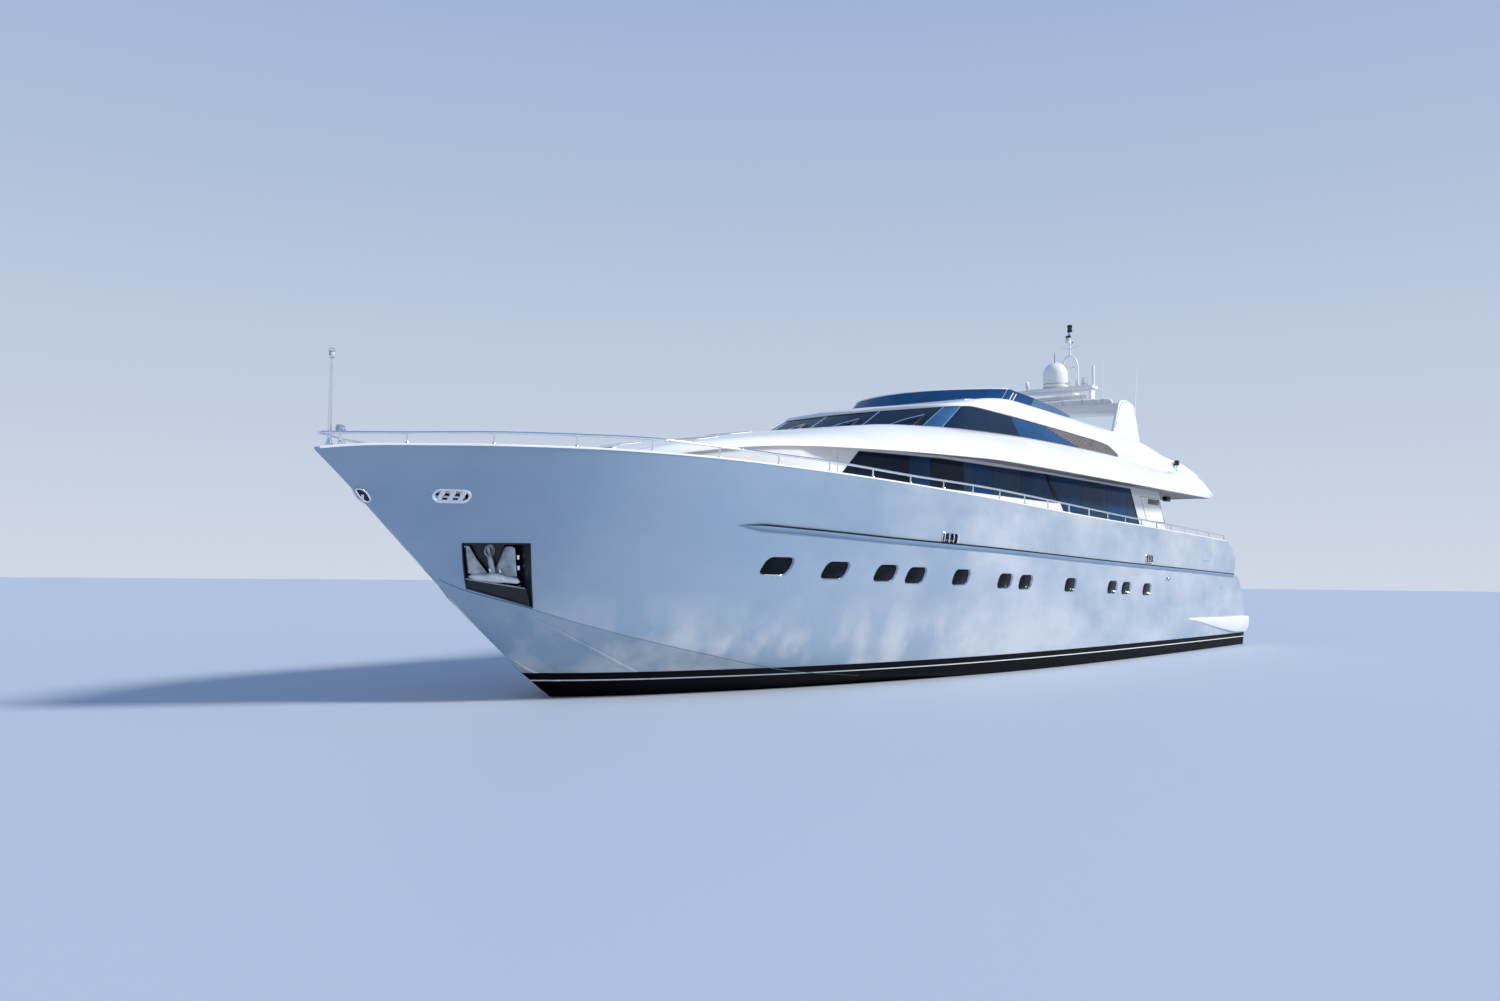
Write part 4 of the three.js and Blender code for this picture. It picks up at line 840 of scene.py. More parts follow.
def gate_ring(s):
    """Outer face on the topsides, inner face a bulwark's thickness inboard."""
    head = hull_line(SHEER_Z, s)
    inner_foot = topside_y(s, deck_z(s)) - bulwark
    inner_head = hull_line(SHEER_Y, s) - bulwark
    rise = [gate_foot_z + (head - gate_foot_z) * k / 6 for k in range(7)]
    outer = [(at(s), topside_y(s, z), z) for z in rise]
    inner = [(at(s), inner_foot + (inner_head - inner_foot) * k / 6, z) for k, z in enumerate(rise)]
    return outer + inner[::-1]


gate_body = loft([gate_ring(s) for s in np.linspace(gate_from, gate_to, 5)], silver_hull)
parts = [
    gate_body,
    rod([gate_pin + Vector((0, 0, gate_foot_z - 0.006)), gate_pin + Vector((0, 0, gate_foot_z + 0.30))],
        0.012, steel),
]
latch_s, latch_z = gate_to - 0.10, gate_foot_z + 0.30
latch_y = topside_y(latch_s, deck_z(latch_s)) - bulwark
parts.append(tube([(latch_s, latch_y - 0.012, latch_z), (latch_s - 0.10, latch_y - 0.030, latch_z),
    (latch_s - 0.17, latch_y - 0.012, latch_z)], 0.009, chrome))
parts.append(loft([[(at(latch_s - 0.19), latch_y + y, latch_z - 0.04),
    (at(latch_s + 0.02), latch_y + y, latch_z - 0.04), (at(latch_s + 0.02), latch_y + y, latch_z + 0.04),
    (at(latch_s - 0.19), latch_y + y, latch_z + 0.04)] for y in (-0.005, 0.01)], steel))
pair("gate_leaf", parts, "boarding_gate", "gate")

# Decks: teak planks laid in black caulking on the foredeck, the side decks, the aft deck and the platform.
# The planks run fore and aft and every sheet stops short of the moulding round it.


def teak_finish():
    """Planks 55 mm wide with black seams, each plank a little different, the grain along it."""
    material = node_finish("oiled teak planks", "teak", (0.36, 0.22, 0.12), 0.62)
    wires = Wiring(material)
    split = wires.add("ShaderNodeSeparateXYZ", {0: wires.place})
    across = wires.math("DIVIDE", split.outputs["Y"], 0.055)
    plank = wires.math("FLOOR", across)
    seam = wires.math("LESS_THAN", wires.math("FRACT", across), 0.09)
    tone = wires.add("ShaderNodeTexWhiteNoise", {"W": plank}, noise_dimensions="1D").outputs["Value"]
    grain = wires.noise(9, 5, (0.6, 14, 6), 0.6)
    light, dark = (0.44, 0.29, 0.17), (0.29, 0.17, 0.09)
    wood = wires.mix(wires.math("ADD", wires.math("MULTIPLY", tone, 0.45),
        wires.math("MULTIPLY", grain, 0.55)), dark, light)
    wires.feed("Base Color", wires.mix(seam, wood, (0.012, 0.012, 0.012)))
    wires.feed("Roughness", wires.between(grain, 0.3, 0.7, 0.5, 0.72))
    wires.bump(wires.math("SUBTRACT", wires.math("MULTIPLY", grain, 0.3), seam), 0.0015, 0.6)
    return material


teak = teak_finish()
teak_thickness, deck_margin = 0.010, 0.09


def deck_sheet(stations, outer, inner, lift, sign=1):
    """A strip of deck between two half-breadth functions, on the deck's own slope."""
    rings = []
    for s in stations:
        z = deck_z(s) + lift
        y0, y1 = inner(s), outer(s)
        rings.append([(at(s), sign * y0, z - teak_thickness * 2),
            (at(s), sign * y1, z - teak_thickness * 2), (at(s), sign * y1, z), (at(s), sign * y0, z)])
    return loft(rings, teak)


def inner_bulwark(s):
    return topside_y(s, deck_z(s)) - bulwark - deck_margin


house_half = 2.60
trunk_rows = [(4.50, 0.15), (4.90, 1.05), (5.50, 1.65), (6.50, 2.15), (7.60, 2.48), (8.39, house_half)]


def house_side(s):
    return smooth(trunk_rows, 1, s) if s > trunk_rows[0][0] else 0


side_strip = deck_sheet(np.linspace(4.56, 27.9, 90), inner_bulwark, lambda s: house_side(s) + deck_margin,
    teak_thickness)
fore_strips = [
    deck_sheet(np.linspace(1.75, 3.08, 12), inner_bulwark, lambda s: 0.0, teak_thickness),
    deck_sheet(np.linspace(3.08, 3.92, 8), inner_bulwark, lambda s: 0.40, teak_thickness),
    deck_sheet(np.linspace(3.92, 4.56, 8), inner_bulwark, lambda s: 0.0, teak_thickness),
]
aft_sheet = deck_sheet([25.46, 28.12], lambda s: 2.60, lambda s: 0.0, teak_thickness)
cockpit_sheet = deck_sheet([23.75, 25.46], lambda s: 2.42, lambda s: 0.0, teak_thickness)
sheets = fore_strips + [side_strip, aft_sheet, cockpit_sheet]
make("teak_decks", both(sheets))

parts = []
for step in range(1, stair_count):
    z = deck_z(stair_top) - step * stair_rise
    s = stair_top + (step - 1) * stair_run
    tread = rounded(stair_run - 0.07, stair_outer_y - stair_inner_y - 0.12, 0.03)
    rings = [[(at(s + stair_run / 2 + a * f), (stair_inner_y + stair_outer_y) / 2 + b * f, z + up)
        for a, b in tread] for up, f in ((0.0005, 1), (0.008, 1), (0.011, 0.985))]
    parts.append(loft(rings, teak))
    lamp = rounded(0.12, 0.035, 0.015, steps=3)
    for y in (stair_inner_y + 0.3, stair_outer_y - 0.3):
        parts.append(loft([[(at(s) - out, y + a, z + 0.16 + b) for a, b in lamp] for out in (0.0, 0.006)],
            chrome))
make("stern_stair_treads", both(parts))

# Sheer capping: a white moulded cap on each bulwark, with a rounded edge, from the stem to the quarters. It
# stops at the gates, which carry their own length.


def capping(stations):
    rings = []
    for s in stations:
        z, y = hull_line(SHEER_Z, s), hull_line(SHEER_Y, s)
        width = min(bulwark + 0.012, max(y - 0.004, 0.012))
        rings.append([(at(s), y - width, z - 0.025), (at(s), y - width, z + 0.004),
            (at(s), y - width + 0.01, z + 0.011), (at(s), y - 0.022, z + 0.012),
            (at(s), y - 0.008, z + 0.008), (at(s), y + 0.001, z - 0.002), (at(s), y + 0.001, z - 0.020)])
    return loft(rings, white)


parts = [capping(np.linspace(0.03, gate_from - gate_clear, 120)),
    capping(np.linspace(gate_to + gate_swing, 28.14, 8))]
make("sheer_capping", both(parts))
pair("gate_capping", [capping(np.linspace(gate_from, gate_to, 4))], body="gate")

# Swim platform: a white moulding bolted to the transom's foot, its edge rounded, with a teak sheet let into
# its top, a dark rubber strip round its rim and two ladder sockets.

platform_forward, platform_half, platform_under = 30.431, 3.08, 0.43
platform_aft = length_over_all
platform_corner = 0.55


def platform_outline(inset, forward=0.0):
    """The platform in plan, [station, y], its after corners rounded."""
    points = [(platform_forward + forward, -(platform_half - inset))]
    radius = platform_corner - inset
    for sign in (-1, 1):
        centre = (platform_aft - platform_corner, sign * (platform_half - platform_corner))
        for k in range(11):
            angle = math.pi / 2 * (k / 10 if sign < 0 else 1 - k / 10)
            points.append((centre[0] + radius * math.sin(angle), centre[1] + sign * radius * math.cos(angle)))
    points.append((platform_forward + forward, platform_half - inset))
    return points


platform_levels = [(platform_under, 0.06), (platform_under + 0.02, 0.02), (platform_under + 0.05, 0),
    (platform_z - 0.045, 0), (platform_z - 0.012, 0.010), (platform_z - 0.001, 0.035)]
parts = [loft([[(at(s), y, z) for s, y in platform_outline(inset)] for z, inset in platform_levels], white),
    loft([[(at(s), y, z) for s, y in platform_outline(0.14, 0.10)]
    for z in (platform_z - 0.006, platform_z - 0.0005)], teak),
    tube([(s, y, 0.70) for s, y in platform_outline(0.006)], 0.006, rubber_and_shade_dark, 8),]
for y in (-1.9, 1.9):
    parts.append(loft([[(at(platform_aft - 0.35 + a), y + b, z) for a, b in rounded(0.22, 0.10, 0.045)]
        for z in (platform_z - 0.002, platform_z - 0.0002)], steel))
platform = make("swim_platform_moulding", parts)
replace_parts(platform, "swim_platform")

# Upper deck and coachroof: one white moulding that rises from the foredeck to the wheelhouse, spreads out
# over the side decks as a deep rounded fascia and runs aft as the overhang of the flybridge. Aft of the
# coachroof its soffit is grey, painted shade under the overhang, with small downlights.

upper_deck_lines = [
    # station, edge half-breadth and height, shoulder half-breadth and height, crown height
    (4.35, 0.150, 3.560, 0.090, 3.640, 3.670),
    (4.80, 1.150, 3.700, 0.800, 3.820, 3.860),
    (5.50, 1.800, 3.860, 1.350, 4.020, 4.060),
    (6.50, 2.330, 4.010, 1.800, 4.190, 4.240),
    (7.60, 2.720, 4.090, 2.050, 4.370, 4.420),
    (9.00, 3.000, 4.150, 2.150, 4.590, 4.650),
    (10.2, 3.130, 4.200, 2.250, 4.780, 4.810),
    (12.1, 3.230, 4.270, 2.450, 4.925, 4.930),
    (13.3, 3.250, 4.310, 2.520, 4.985, 4.950),
    (15.8, 3.260, 4.325, 2.600, 5.070, 4.950),
    (18.65, 3.26, 4.330, 2.700, 5.090, 4.950),
    (21.1, 3.250, 4.335, 2.730, 5.085, 4.950),
    (24.0, 3.200, 4.345, 2.790, 5.000, 4.950),
    (26.9, 3.080, 4.375, 2.900, 4.965, 4.950),
    (27.9, 2.980, 4.400, 2.960, 4.430, 4.430),
]
EDGE_Y, EDGE_Z, SHOULDER_Y, SHOULDER_Z, CROWN_Z = range(1, 6)
soffit_rise = 0.06
# Grey for the soffit: painted shade under the overhang.
soffit_painted_shade = worn(node_finish("grey soffit, painted shade", "white_gelcoat", (0.33, 0.34, 0.36), 0.5), 1.0, 0.05, 300,
    0.0003)
sealant = worn(node_finish("black sealant", "dark_strake", (0.010, 0.012, 0.016), 0.4), 6, 0.2, 300)


def upper_line(column, s):
    return smooth(upper_deck_lines, column, s)


def bezier(a, b, c, steps):
    """Points on a curve from a to c drawn towards b, without the last."""
    return [tuple((1 - t)**2 * p + 2 * t * (1 - t) * q + t**2 * r for p, q, r in zip(a, b, c))
        for t in (k / steps for k in range(steps))]


def upper_deck_half(s):
    """Half a section from the soffit's middle round the fascia to the crown, as (y, z) points."""
    edge_y, edge_z, shoulder_y, shoulder_z, crown_z = (upper_line(k, s) for k in range(1, 6))
    soffit_y = min(house_half + 0.02, edge_y * 0.85)
    soffit_z = min(edge_z + soffit_rise, (edge_z + shoulder_z) / 2)
    hollow = shoulder_z > crown_z
    floor_y = shoulder_y - (0.26 if hollow else shoulder_y * 0.4)
    rim = min(0.028, (shoulder_z - edge_z) * 0.2)
    bulge = ((edge_y + shoulder_y) / 2 + 0.045 + 0.02 * hollow, (edge_z + shoulder_z) / 2 + 0.075)
    tip = (edge_y - 0.004, edge_z + rim)
    bend = (2 * bulge[0] - (tip[0] + shoulder_y) / 2, 2 * bulge[1] - (tip[1] + shoulder_z) / 2)
    half = [(soffit_y * 0.5, soffit_z), (soffit_y, soffit_z), (edge_y - 0.03, edge_z + 0.002),
        (edge_y - 0.012, edge_z - 0.0005)]
    half += bezier((edge_y - 0.001, edge_z + 0.008), tip, tip, 2)
    half += bezier(tip, bend, (shoulder_y, shoulder_z), 10)
    if hollow:
        half += [(shoulder_y, shoulder_z), (shoulder_y - 0.05, shoulder_z + 0.002),
            (shoulder_y - 0.12, shoulder_z - (shoulder_z - crown_z) * 0.35), (floor_y, crown_z),
            (floor_y * 0.5, crown_z)]
    else:
        lift = crown_z - shoulder_z
        half += [(shoulder_y * f, shoulder_z + lift * (1 - f**2)) for f in (1, 0.85, 0.66, 0.45, 0.22)]
    return half, soffit_z, crown_z


def upper_deck_ring(s):
    half, soffit_z, crown_z = upper_deck_half(s)
    return [(at(s), 0, soffit_z)] + [(at(s), y, z) for y, z in half] + [(at(s), 0, crown_z)] + [
        (at(s), -y, z) for y, z in half[::-1]]


upper_stations = [*np.linspace(4.352, 5.5, 12), *np.linspace(5.6, 27.0, 110), *np.linspace(27.06, 27.898, 14)]
upper_mesh = bpy.data.meshes.new("upper deck")
upper_points, upper_faces, _ = loft([upper_deck_ring(s) for s in upper_stations], white)
upper_mesh.from_pydata(upper_points, [], upper_faces)
upper_mesh.materials.append(white)
wheelhouse_well = block(12.45, 14.0, -1.9, 1.9, 4.0, 5.3, white)
upper_mesh = carve(upper_mesh, wheelhouse_well)
upper_mesh.materials.append(soffit_painted_shade)
painted_shade_index = len(upper_mesh.materials) - 1
face_out(upper_mesh)
# Downward faces aft of the coachroof turn grey: painted shade under the overhang.
for face in upper_mesh.polygons:
    s = bow_x - face.center.x
    if face.normal.z < -0.6 and s > 9.5 and abs(face.center.y) < upper_line(EDGE_Y,
            min(max(s, 4.4), 27.8)) - 0.013:
        face.material_index = painted_shade_index
upper_deck = settle("upper_deck_moulding", upper_mesh, crease=40)
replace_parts(upper_deck, "upper_deck", "coachroof")

parts = []
for s in np.arange(9.4, 26.6, 1.9):
    y, z = upper_line(EDGE_Y, s) - 0.22, min(upper_line(EDGE_Z, s) + soffit_rise, 5)
    inner_y = min(house_half + 0.02, upper_line(EDGE_Y, s) * 0.85)
    slope = (upper_line(EDGE_Z, s) - z) / (upper_line(EDGE_Y, s) - inner_y)
    lamp_z = z + slope * (y - inner_y)
    for material, radius, drop in ((chrome, 0.055, 0.006), (white, 0.038, 0.009)):
        parts.append(loft([[(at(s) + math.cos(a) * radius * f, y + math.sin(a) * radius * f, lamp_z - d)
            for a in circle(16)] for f, d in ((1.0, -0.004), (1.0, drop * 0.7), (0.8, drop))], material))
make("soffit_lamps", both(parts))

# House trunk: the forward end of the deckhouse, a curved white wall under the coachroof, moulded with a flare
# at its head.

trunk_rings = []
for s in np.linspace(4.50, 8.39, 40):
    y = max(smooth(trunk_rows, 1, s), 0.12)
    head, flare = upper_line(EDGE_Z, s) + 0.035, max(min(upper_line(EDGE_Y, s) - 0.05, house_half), y * 0.97)
    trunk_rings.append([(at(s), -y, deck_z(s) - 0.02), (at(s), y, deck_z(s) - 0.02), (at(s), y * 0.99, 3.2),
        (at(s), flare, head), (at(s), -flare, head), (at(s), -y * 0.99, 3.2)])
trunk = make("house_trunk_moulding", [loft(trunk_rings, white)])
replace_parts(trunk, "house_trunk")

# Wheelhouse glass: curved panes that wrap round the front and run aft along the sides in one band, bonded on
# with black sealant. Two slim mullions divide the front; each rounded corner of the glass is a blue panel, a
# painted sky reflection, edged by two light strips that are painted highlights; and the after end of each
# side is a louvre for the air of the engines, its blades set before a black sheet that is painted shade.

windshield_rows = [  # station, y, z of the foot, then of the head
    (11.74, 0.000, 4.902, 12.80, 0.000, 5.460),
    (11.78, 0.500, 4.905, 12.84, 0.480, 5.463),
    (11.88, 1.000, 4.911, 12.95, 0.960, 5.470),
    (11.99, 1.500, 4.918, 13.07, 1.440, 5.478),
    (12.11, 2.000, 4.924, 13.22, 1.930, 5.490),
    (12.23, 2.290, 4.928, 13.34, 2.150, 5.502),
    (12.42, 2.420, 4.937, 13.56, 2.232, 5.524),
]
side_glass_rows = [
    (12.46, 2.424, 4.939, 13.60, 2.233, 5.528),
    (13.30, 2.520, 4.990, 14.00, 2.238, 5.568),
    (15.80, 2.600, 5.072, 16.50, 2.300, 5.540),
    (18.65, 2.700, 5.092, 19.10, 2.400, 5.465),
    (20.50, 2.725, 5.092, 20.70, 2.590, 5.340),
    (21.05, 2.730, 5.090, 21.10, 2.705, 5.125),
]
glass_depth = 0.030


def with_run(rows):
    """The rows, each with its running length along the band in front."""
    table, run = [], 0.0
    for k, row in enumerate(rows):
        if k:
            run += math.dist([(row[i] + row[i + 3]) / 2 for i in range(3)],
                [(rows[k - 1][i] + rows[k - 1][i + 3]) / 2 for i in range(3)])
        table.append((run, *row))
    return table


band = with_run(windshield_rows + side_glass_rows[1:])
front_run = band[len(windshield_rows) - 1][0]
end_run = band[-1][0]


def run_where(table, column, station):
    """The run at which the foot (column 1) or the head (column 4) reaches a station."""
    low, high = table[0][0], table[-1][0]
    while high - low > 0.001:
        middle = (low + high) / 2
        low, high = (middle, high) if smooth(table, column, middle) < station else (low, middle)
    return low


def on_band(table, run, up, out=0.0):
    """A point on a band: so far along it, up from 0 at its foot to 1 at its head, so far proud of it."""
    reach = min(abs(run), table[-1][0])

    def place(r, u):
        foot, head = (Vector((at(smooth(table, k, r)), smooth(table, k + 1, r), smooth(table, k + 2, r)))
            for k in (1, 4))
        return foot.lerp(head, u)

    here = place(reach, up)
    if out:
        along = place(min(reach + 0.02, table[-1][0]), up) - place(max(reach - 0.02, 0.0), up)
        if reach < 0.02:
            along = Vector((0, 1, 0))
        normal = along.cross(place(reach, 1) - place(reach, 0)).normalized()
        here = here + (normal if normal.z > 0 else -normal) * out
    return Vector((here.x, math.copysign(here.y, run) if run else here.y, here.z))


def panel(table, start, end, low, high, outer, inner, material, along=12, rise=4):
    """A curved plate on a band; its ends may lean, as (run at the foot, run at the head)."""
    (a, b), (c, d) = (edge if isinstance(edge, tuple) else (edge, edge) for edge in (start, end))
    rings = []
    for i in range(along + 1):
        t = i / along
        foot_run, head_run = a + (c - a) * t, b + (d - b) * t
        ups = [low + (high - low) * k / rise for k in range(rise + 1)]
        front = [on_band(table, foot_run + (head_run - foot_run) * u, u, outer) for u in ups]
        back = [on_band(table, foot_run + (head_run - foot_run) * u, u, inner) for u in (high, low)]
        rings.append(front + back)
    return loft(rings, material)


def tinted(name, colour, roughness=0.06, **sockets):
    glass = node_finish(name, "tinted_glass", colour, roughness, specular_ior_level=0.04, **sockets)
    return worn(glass, 0.9, 0.12, 40, 0.00004, 0.02)


dark_glass = tinted("dark tinted glass", (0.008, 0.020, 0.045))
blue_glass = tinted("blue tinted glass", (0.012, 0.060, 0.160))
# The corner's blue is a painted sky reflection on the curved glass.
corner_sky_reflection = tinted("blue glass corner, painted sky reflection", (0.040, 0.115, 0.250), 0.10)
mullion_run, mullion_half = 0.69, 0.014
corner_from, corner_to = 2.08, front_run - 0.004

front_panes = [
    panel(band, -mullion_run, mullion_run, 0, 1, 0, -glass_depth, dark_glass, 24, 6),
    panel(band, mullion_run, corner_from, 0, 1, 0, -glass_depth, dark_glass, 20, 6),
    panel(band, -corner_from, -mullion_run, 0, 1, 0, -glass_depth, dark_glass, 20, 6),
]
corner = [panel(band, corner_from, corner_to, 0, 1, 0.004, -glass_depth, corner_sky_reflection, 12, 6)]
# A slim mullion, then two light strips along the corner's edges that are painted highlights.
for run in (mullion_run, corner_from, corner_to - 0.02):
    corner.append(panel(band, run - mullion_half, run + mullion_half, 0.01, 0.99, 0.007, -0.004,
        blue_reflection_silver, 2))
for low, high in ((0.0, 0.02), (0.965, 1.0)):
    corner.append(panel(band, 0.0, corner_to, low, high, 0.006, -0.004, sealant, 40, 2))
windshield = make("windshield_glass", front_panes + both(corner), crease=50)
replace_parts(windshield, "windshield")

division = tuple(run_where(band, k, s) for k, s in ((1, 15.60), (4, 15.80)))
louvre_edge = tuple(run_where(band, k, s) for k, s in ((1, 18.60), (4, 17.50)))
louvre_grey = worn(node_finish("grey louvre blades", "dark_strake", (0.17, 0.155, 0.145), 0.5), 6, 0.12, 300)
parts = [
    panel(band, front_run + 0.004, tuple(r - 0.004 for r in division), 0, 1, 0, -glass_depth, dark_glass,
          24, 5),
    panel(band, tuple(r + 0.004 for r in division), tuple(r - 0.004 for r in louvre_edge), 0, 1, 0,
          -glass_depth, blue_glass, 20, 5),
    # Behind the blades, a black sheet set back from the glass: painted shade in the air opening.
    panel(band, tuple(r + 0.004 for r in louvre_edge), end_run, 0, 1, -0.020, -glass_depth, sealant,
          24, 5),
]
louvre_blades = 9
for k in range(louvre_blades):
    low = (k + 0.15) / louvre_blades
    high = low + 0.62 / louvre_blades
    start = louvre_edge[0] + (louvre_edge[1] - louvre_edge[0]) * (low + high) / 2 + 0.03
    parts.append(panel(band, start, end_run - 0.02, low, high, 0.0, -0.022, louvre_grey, 18, 1))
for low, high in ((0.0, 0.012), (0.98, 1.0)):
    parts.append(panel(band, front_run, end_run, low, high, 0.004, -0.004, sealant, 50, 1))
pair("wheelhouse_side_glass", parts, "wheelhouse_glass", crease=50)

# Windscreen wipers: three, one to a pane, each a black arm that rises from a motor in the cowl at the foot of
# the glass and a polished blade folded back across the pane.

parts = []
for arm_run, blade_run in ((1.93, 1.28), (0.52, -0.12), (-0.93, -1.55)):
    knee = on_band(band, arm_run, 0.50, 0.065)
    tip = on_band(band, blade_run, 0.10, 0.030)
    parts += [
        rod([on_band(band, arm_run, 0.02, 0.020), on_band(band, arm_run, 0.06, 0.060)], [0.035, 0.028],
            black, 12),
        rod([on_band(band, arm_run, 0.05, 0.060), on_band(band, arm_run + 0.01, 0.28, 0.075), knee],
            [0.016, 0.012, 0.012], black, 8),
        rod([on_band(band, arm_run + 0.035, 0.05, 0.060), on_band(band, arm_run + 0.04, 0.46, 0.070)],
            0.007, black, 8),
        rod([knee, knee.lerp(tip, 0.5) + Vector((0.01, 0, 0.02)), tip], [0.018, 0.016, 0.010], chrome, 8),
        rod([on_band(band, arm_run + 0.03, 0.54, 0.016), on_band(band, blade_run - 0.02, 0.07, 0.016)],
            0.010, black, 8),
    ]
make("windscreen_wipers", parts)

# Flybridge moulding: one white shell from the brow over the windscreen to the after end of the flybridge. Its
# forward part is the wheelhouse's roof and the console, its sides are the coamings round the flybridge.

brow_lines = [
    # station, eave half-breadth and height, shoulder half-breadth and height, crown height
    (12.76, 0.150, 5.452, 0.100, 5.490, 5.500),
    (12.83, 0.480, 5.462, 0.380, 5.525, 5.545),
    (12.95, 0.980, 5.470, 0.860, 5.555, 5.585),
    (13.07, 1.450, 5.478, 1.300, 5.560, 5.600),
    (13.22, 1.940, 5.490, 1.740, 5.565, 5.620),
    (13.34, 2.160, 5.502, 1.930, 5.580, 5.640),
    (13.56, 2.236, 5.526, 2.010, 5.618, 5.680),
    (13.90, 2.250, 5.568, 2.050, 5.690, 5.735),
    (14.30, 2.255, 5.581, 2.090, 5.770, 5.795),
    (15.00, 2.275, 5.576, 2.130, 5.885, 5.885),
    (15.80, 2.295, 5.566, 2.142, 5.965, 5.950),
    (16.50, 2.315, 5.552, 2.150, 5.975, 5.960),
    (19.10, 2.415, 5.477, 2.115, 5.955, 5.950),
    (20.70, 2.600, 5.352, 2.180, 5.910, 5.900),
    (21.15, 2.722, 5.130, 2.240, 5.885, 5.880),
    (21.95, 2.660, 5.280, 2.300, 5.840, 5.830),
    (23.66, 2.690, 5.250, 2.400, 5.710, 5.700),
    (24.90, 2.750, 5.180, 2.600, 5.420, 5.410),
    (25.90, 2.790, 5.130, 2.700, 5.320, 5.310),
    (26.89, 2.890, 5.010, 2.840, 5.060, 5.060),
]
coaming_width = 0.20


def brow(column, s):
    return smooth(brow_lines, column, s)


def brow_face(s):
    """The outer face from the eave's underside over a rounded lip to the shoulder."""
    eave_y, eave_z, top_y, top_z = (brow(k, s) for k in (1, 2, 3, 4))
    lip = min(0.016, (top_z - eave_z) * 0.2)
    bend = ((eave_y + top_y) / 2 + 0.10 * (top_z - eave_z),
        (eave_z + top_z) / 2 + 0.12 * (eave_y - top_y) + 0.01)
    face = [(eave_y - lip * 1.5, eave_z), (eave_y - lip * 0.4, eave_z + lip * 0.1),
        (eave_y, eave_z + lip * 0.8)]
    end = (top_y + 0.03, top_z - 0.012)
    face += bezier(face[-1], (2 * bend[0] - (face[-1][0] + end[0]) / 2,
        2 * bend[1] - (face[-1][1] + end[1]) / 2), end, 7)[1:]
    return face + [end, (top_y, top_z), (top_y - 0.03, top_z + 0.003)]


def roof_ring(s):
    """The wheelhouse's roof, a shell under its crown."""
    face, crown_z = brow_face(s), brow(5, s)
    rim_y, rim_z = face[0]
    inner_y, inner_z = face[-1]
    under_z = max(crown_z - 0.10, rim_z)
    bottom = [(rim_y * f, rim_z + (under_z - rim_z) * min(1.0, (1 - f) * 8)) for f in (0.3, 0.6, 0.88, 0.96)]
    top = [(inner_y * f, inner_z + (crown_z - inner_z) * (1 - f**2)) for f in (0.85, 0.65, 0.45, 0.22)]
    half = [(at(s), y, z) for y, z in bottom + face + top]
    return [(at(s), 0, under_z), *half, (at(s), 0, crown_z), *((x, -y, z) for x, y, z in half[::-1])]


def coaming_ring(s):
    """Port side: the lower face, let in behind the glass, the outer face, the top and the inner face."""
    face = brow_face(s)
    foot_y, foot_z = upper_line(SHOULDER_Y, s), upper_line(SHOULDER_Z, s) - 0.03
    let_in = 0.06 * min(max((21.13 - s) / 0.06, 0), 1)
    lower = [(foot_y - let_in, foot_z), ((foot_y + brow(1, s)) / 2 - let_in, (foot_z + brow(2, s)) / 2),
        (brow(1, s) - let_in, brow(2, s) - 0.002)]
    top_y, top_z = brow(3, s), brow(4, s)
    inner = top_y - coaming_width
    inner_foot = upper_line(SHOULDER_Y, s) - 0.33
    edge = [(top_y - 0.10, top_z + 0.005), (inner + 0.03, top_z + 0.002), (inner + 0.008, top_z - 0.008),
        (inner, top_z - 0.03), ((inner + inner_foot) / 2, (top_z + 4.95) / 2), (inner_foot, 4.94)]
    return [(at(s), y, z) for y, z in lower + face + edge]


brow_stations = [12.762, 12.775, 12.80, 12.85, 12.92, 13.0, 13.1, 13.2, 13.34, 13.5, 13.7, 13.9, 14.1, 14.299]
roof = make("wheelhouse_roof_moulding", [loft([roof_ring(s) for s in brow_stations], white)], crease=40)
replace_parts(roof, "wheelhouse_roof")
coaming_stations = [14.301, *np.linspace(14.5, 20.9, 40), 21.0, 21.06, 21.1, 21.13,
    *np.linspace(21.2, 26.888, 34)]
coaming = loft([coaming_ring(s) for s in coaming_stations], white)
pair("flybridge_coaming_moulding", [coaming], "flybridge_coaming", crease=40)

# Flybridge console: the roof's line carried aft between the coamings, with a raised cowl over the helm, dark
# displays in it, a steering wheel, engine levers and a grab rail along its edge.

console_half = 1.93
console_line = [(14.302, 4.95), (15.898, 4.95), (15.893, 5.60), (15.868, 5.69), (15.80, 5.77),
    (15.66, 5.905), (15.60, 5.93), (15.50, 5.944), (15.30, 5.924), (15.0, 5.884), (14.7, 5.848),
    (14.302, 5.80)]
helm_y = -0.55
cowl = [(15.30, 5.90), (15.77, 5.77), (15.80, 5.80), (15.50, 5.99), (15.40, 6.0), (15.33, 5.98)]
parts = [loft([[(at(s), y, z) for s, z in console_line]
    for y in (-console_half, -1.9, -1.2, 0, 1.2, 1.9, console_half)], white),
    loft([[(at(15.5 + (s - 15.5) * f), y, 5.88 + (z - 5.88) * f) for s, z in cowl]
    for y, f in ((helm_y - 0.62, 0.86), (helm_y - 0.56, 1), (helm_y + 0.56, 1), (helm_y + 0.62, 0.86))],
    white)]
display_black = node_finish("display glass", "tinted_glass", (0.004, 0.005, 0.008), 0.06)
worn(display_black, 2, 0.2, 60, 0.00003, 0.02)
for y in (helm_y - 0.34, helm_y + 0.02, helm_y + 0.36):
    parts.append(loft([[(at(15.785), y - 0.15, 5.814), (at(15.785), y + 0.15, 5.814),
        (at(15.585), y + 0.15, 5.943), (at(15.585), y - 0.15, 5.943)],
        [(at(15.777), y - 0.15, 5.802), (at(15.777), y + 0.15, 5.802), (at(15.577), y + 0.15, 5.931),
        (at(15.577), y - 0.15, 5.931)]], display_black))
wheel_middle, wheel_radius = Vector((at(16.06), helm_y, 5.60)), 0.19
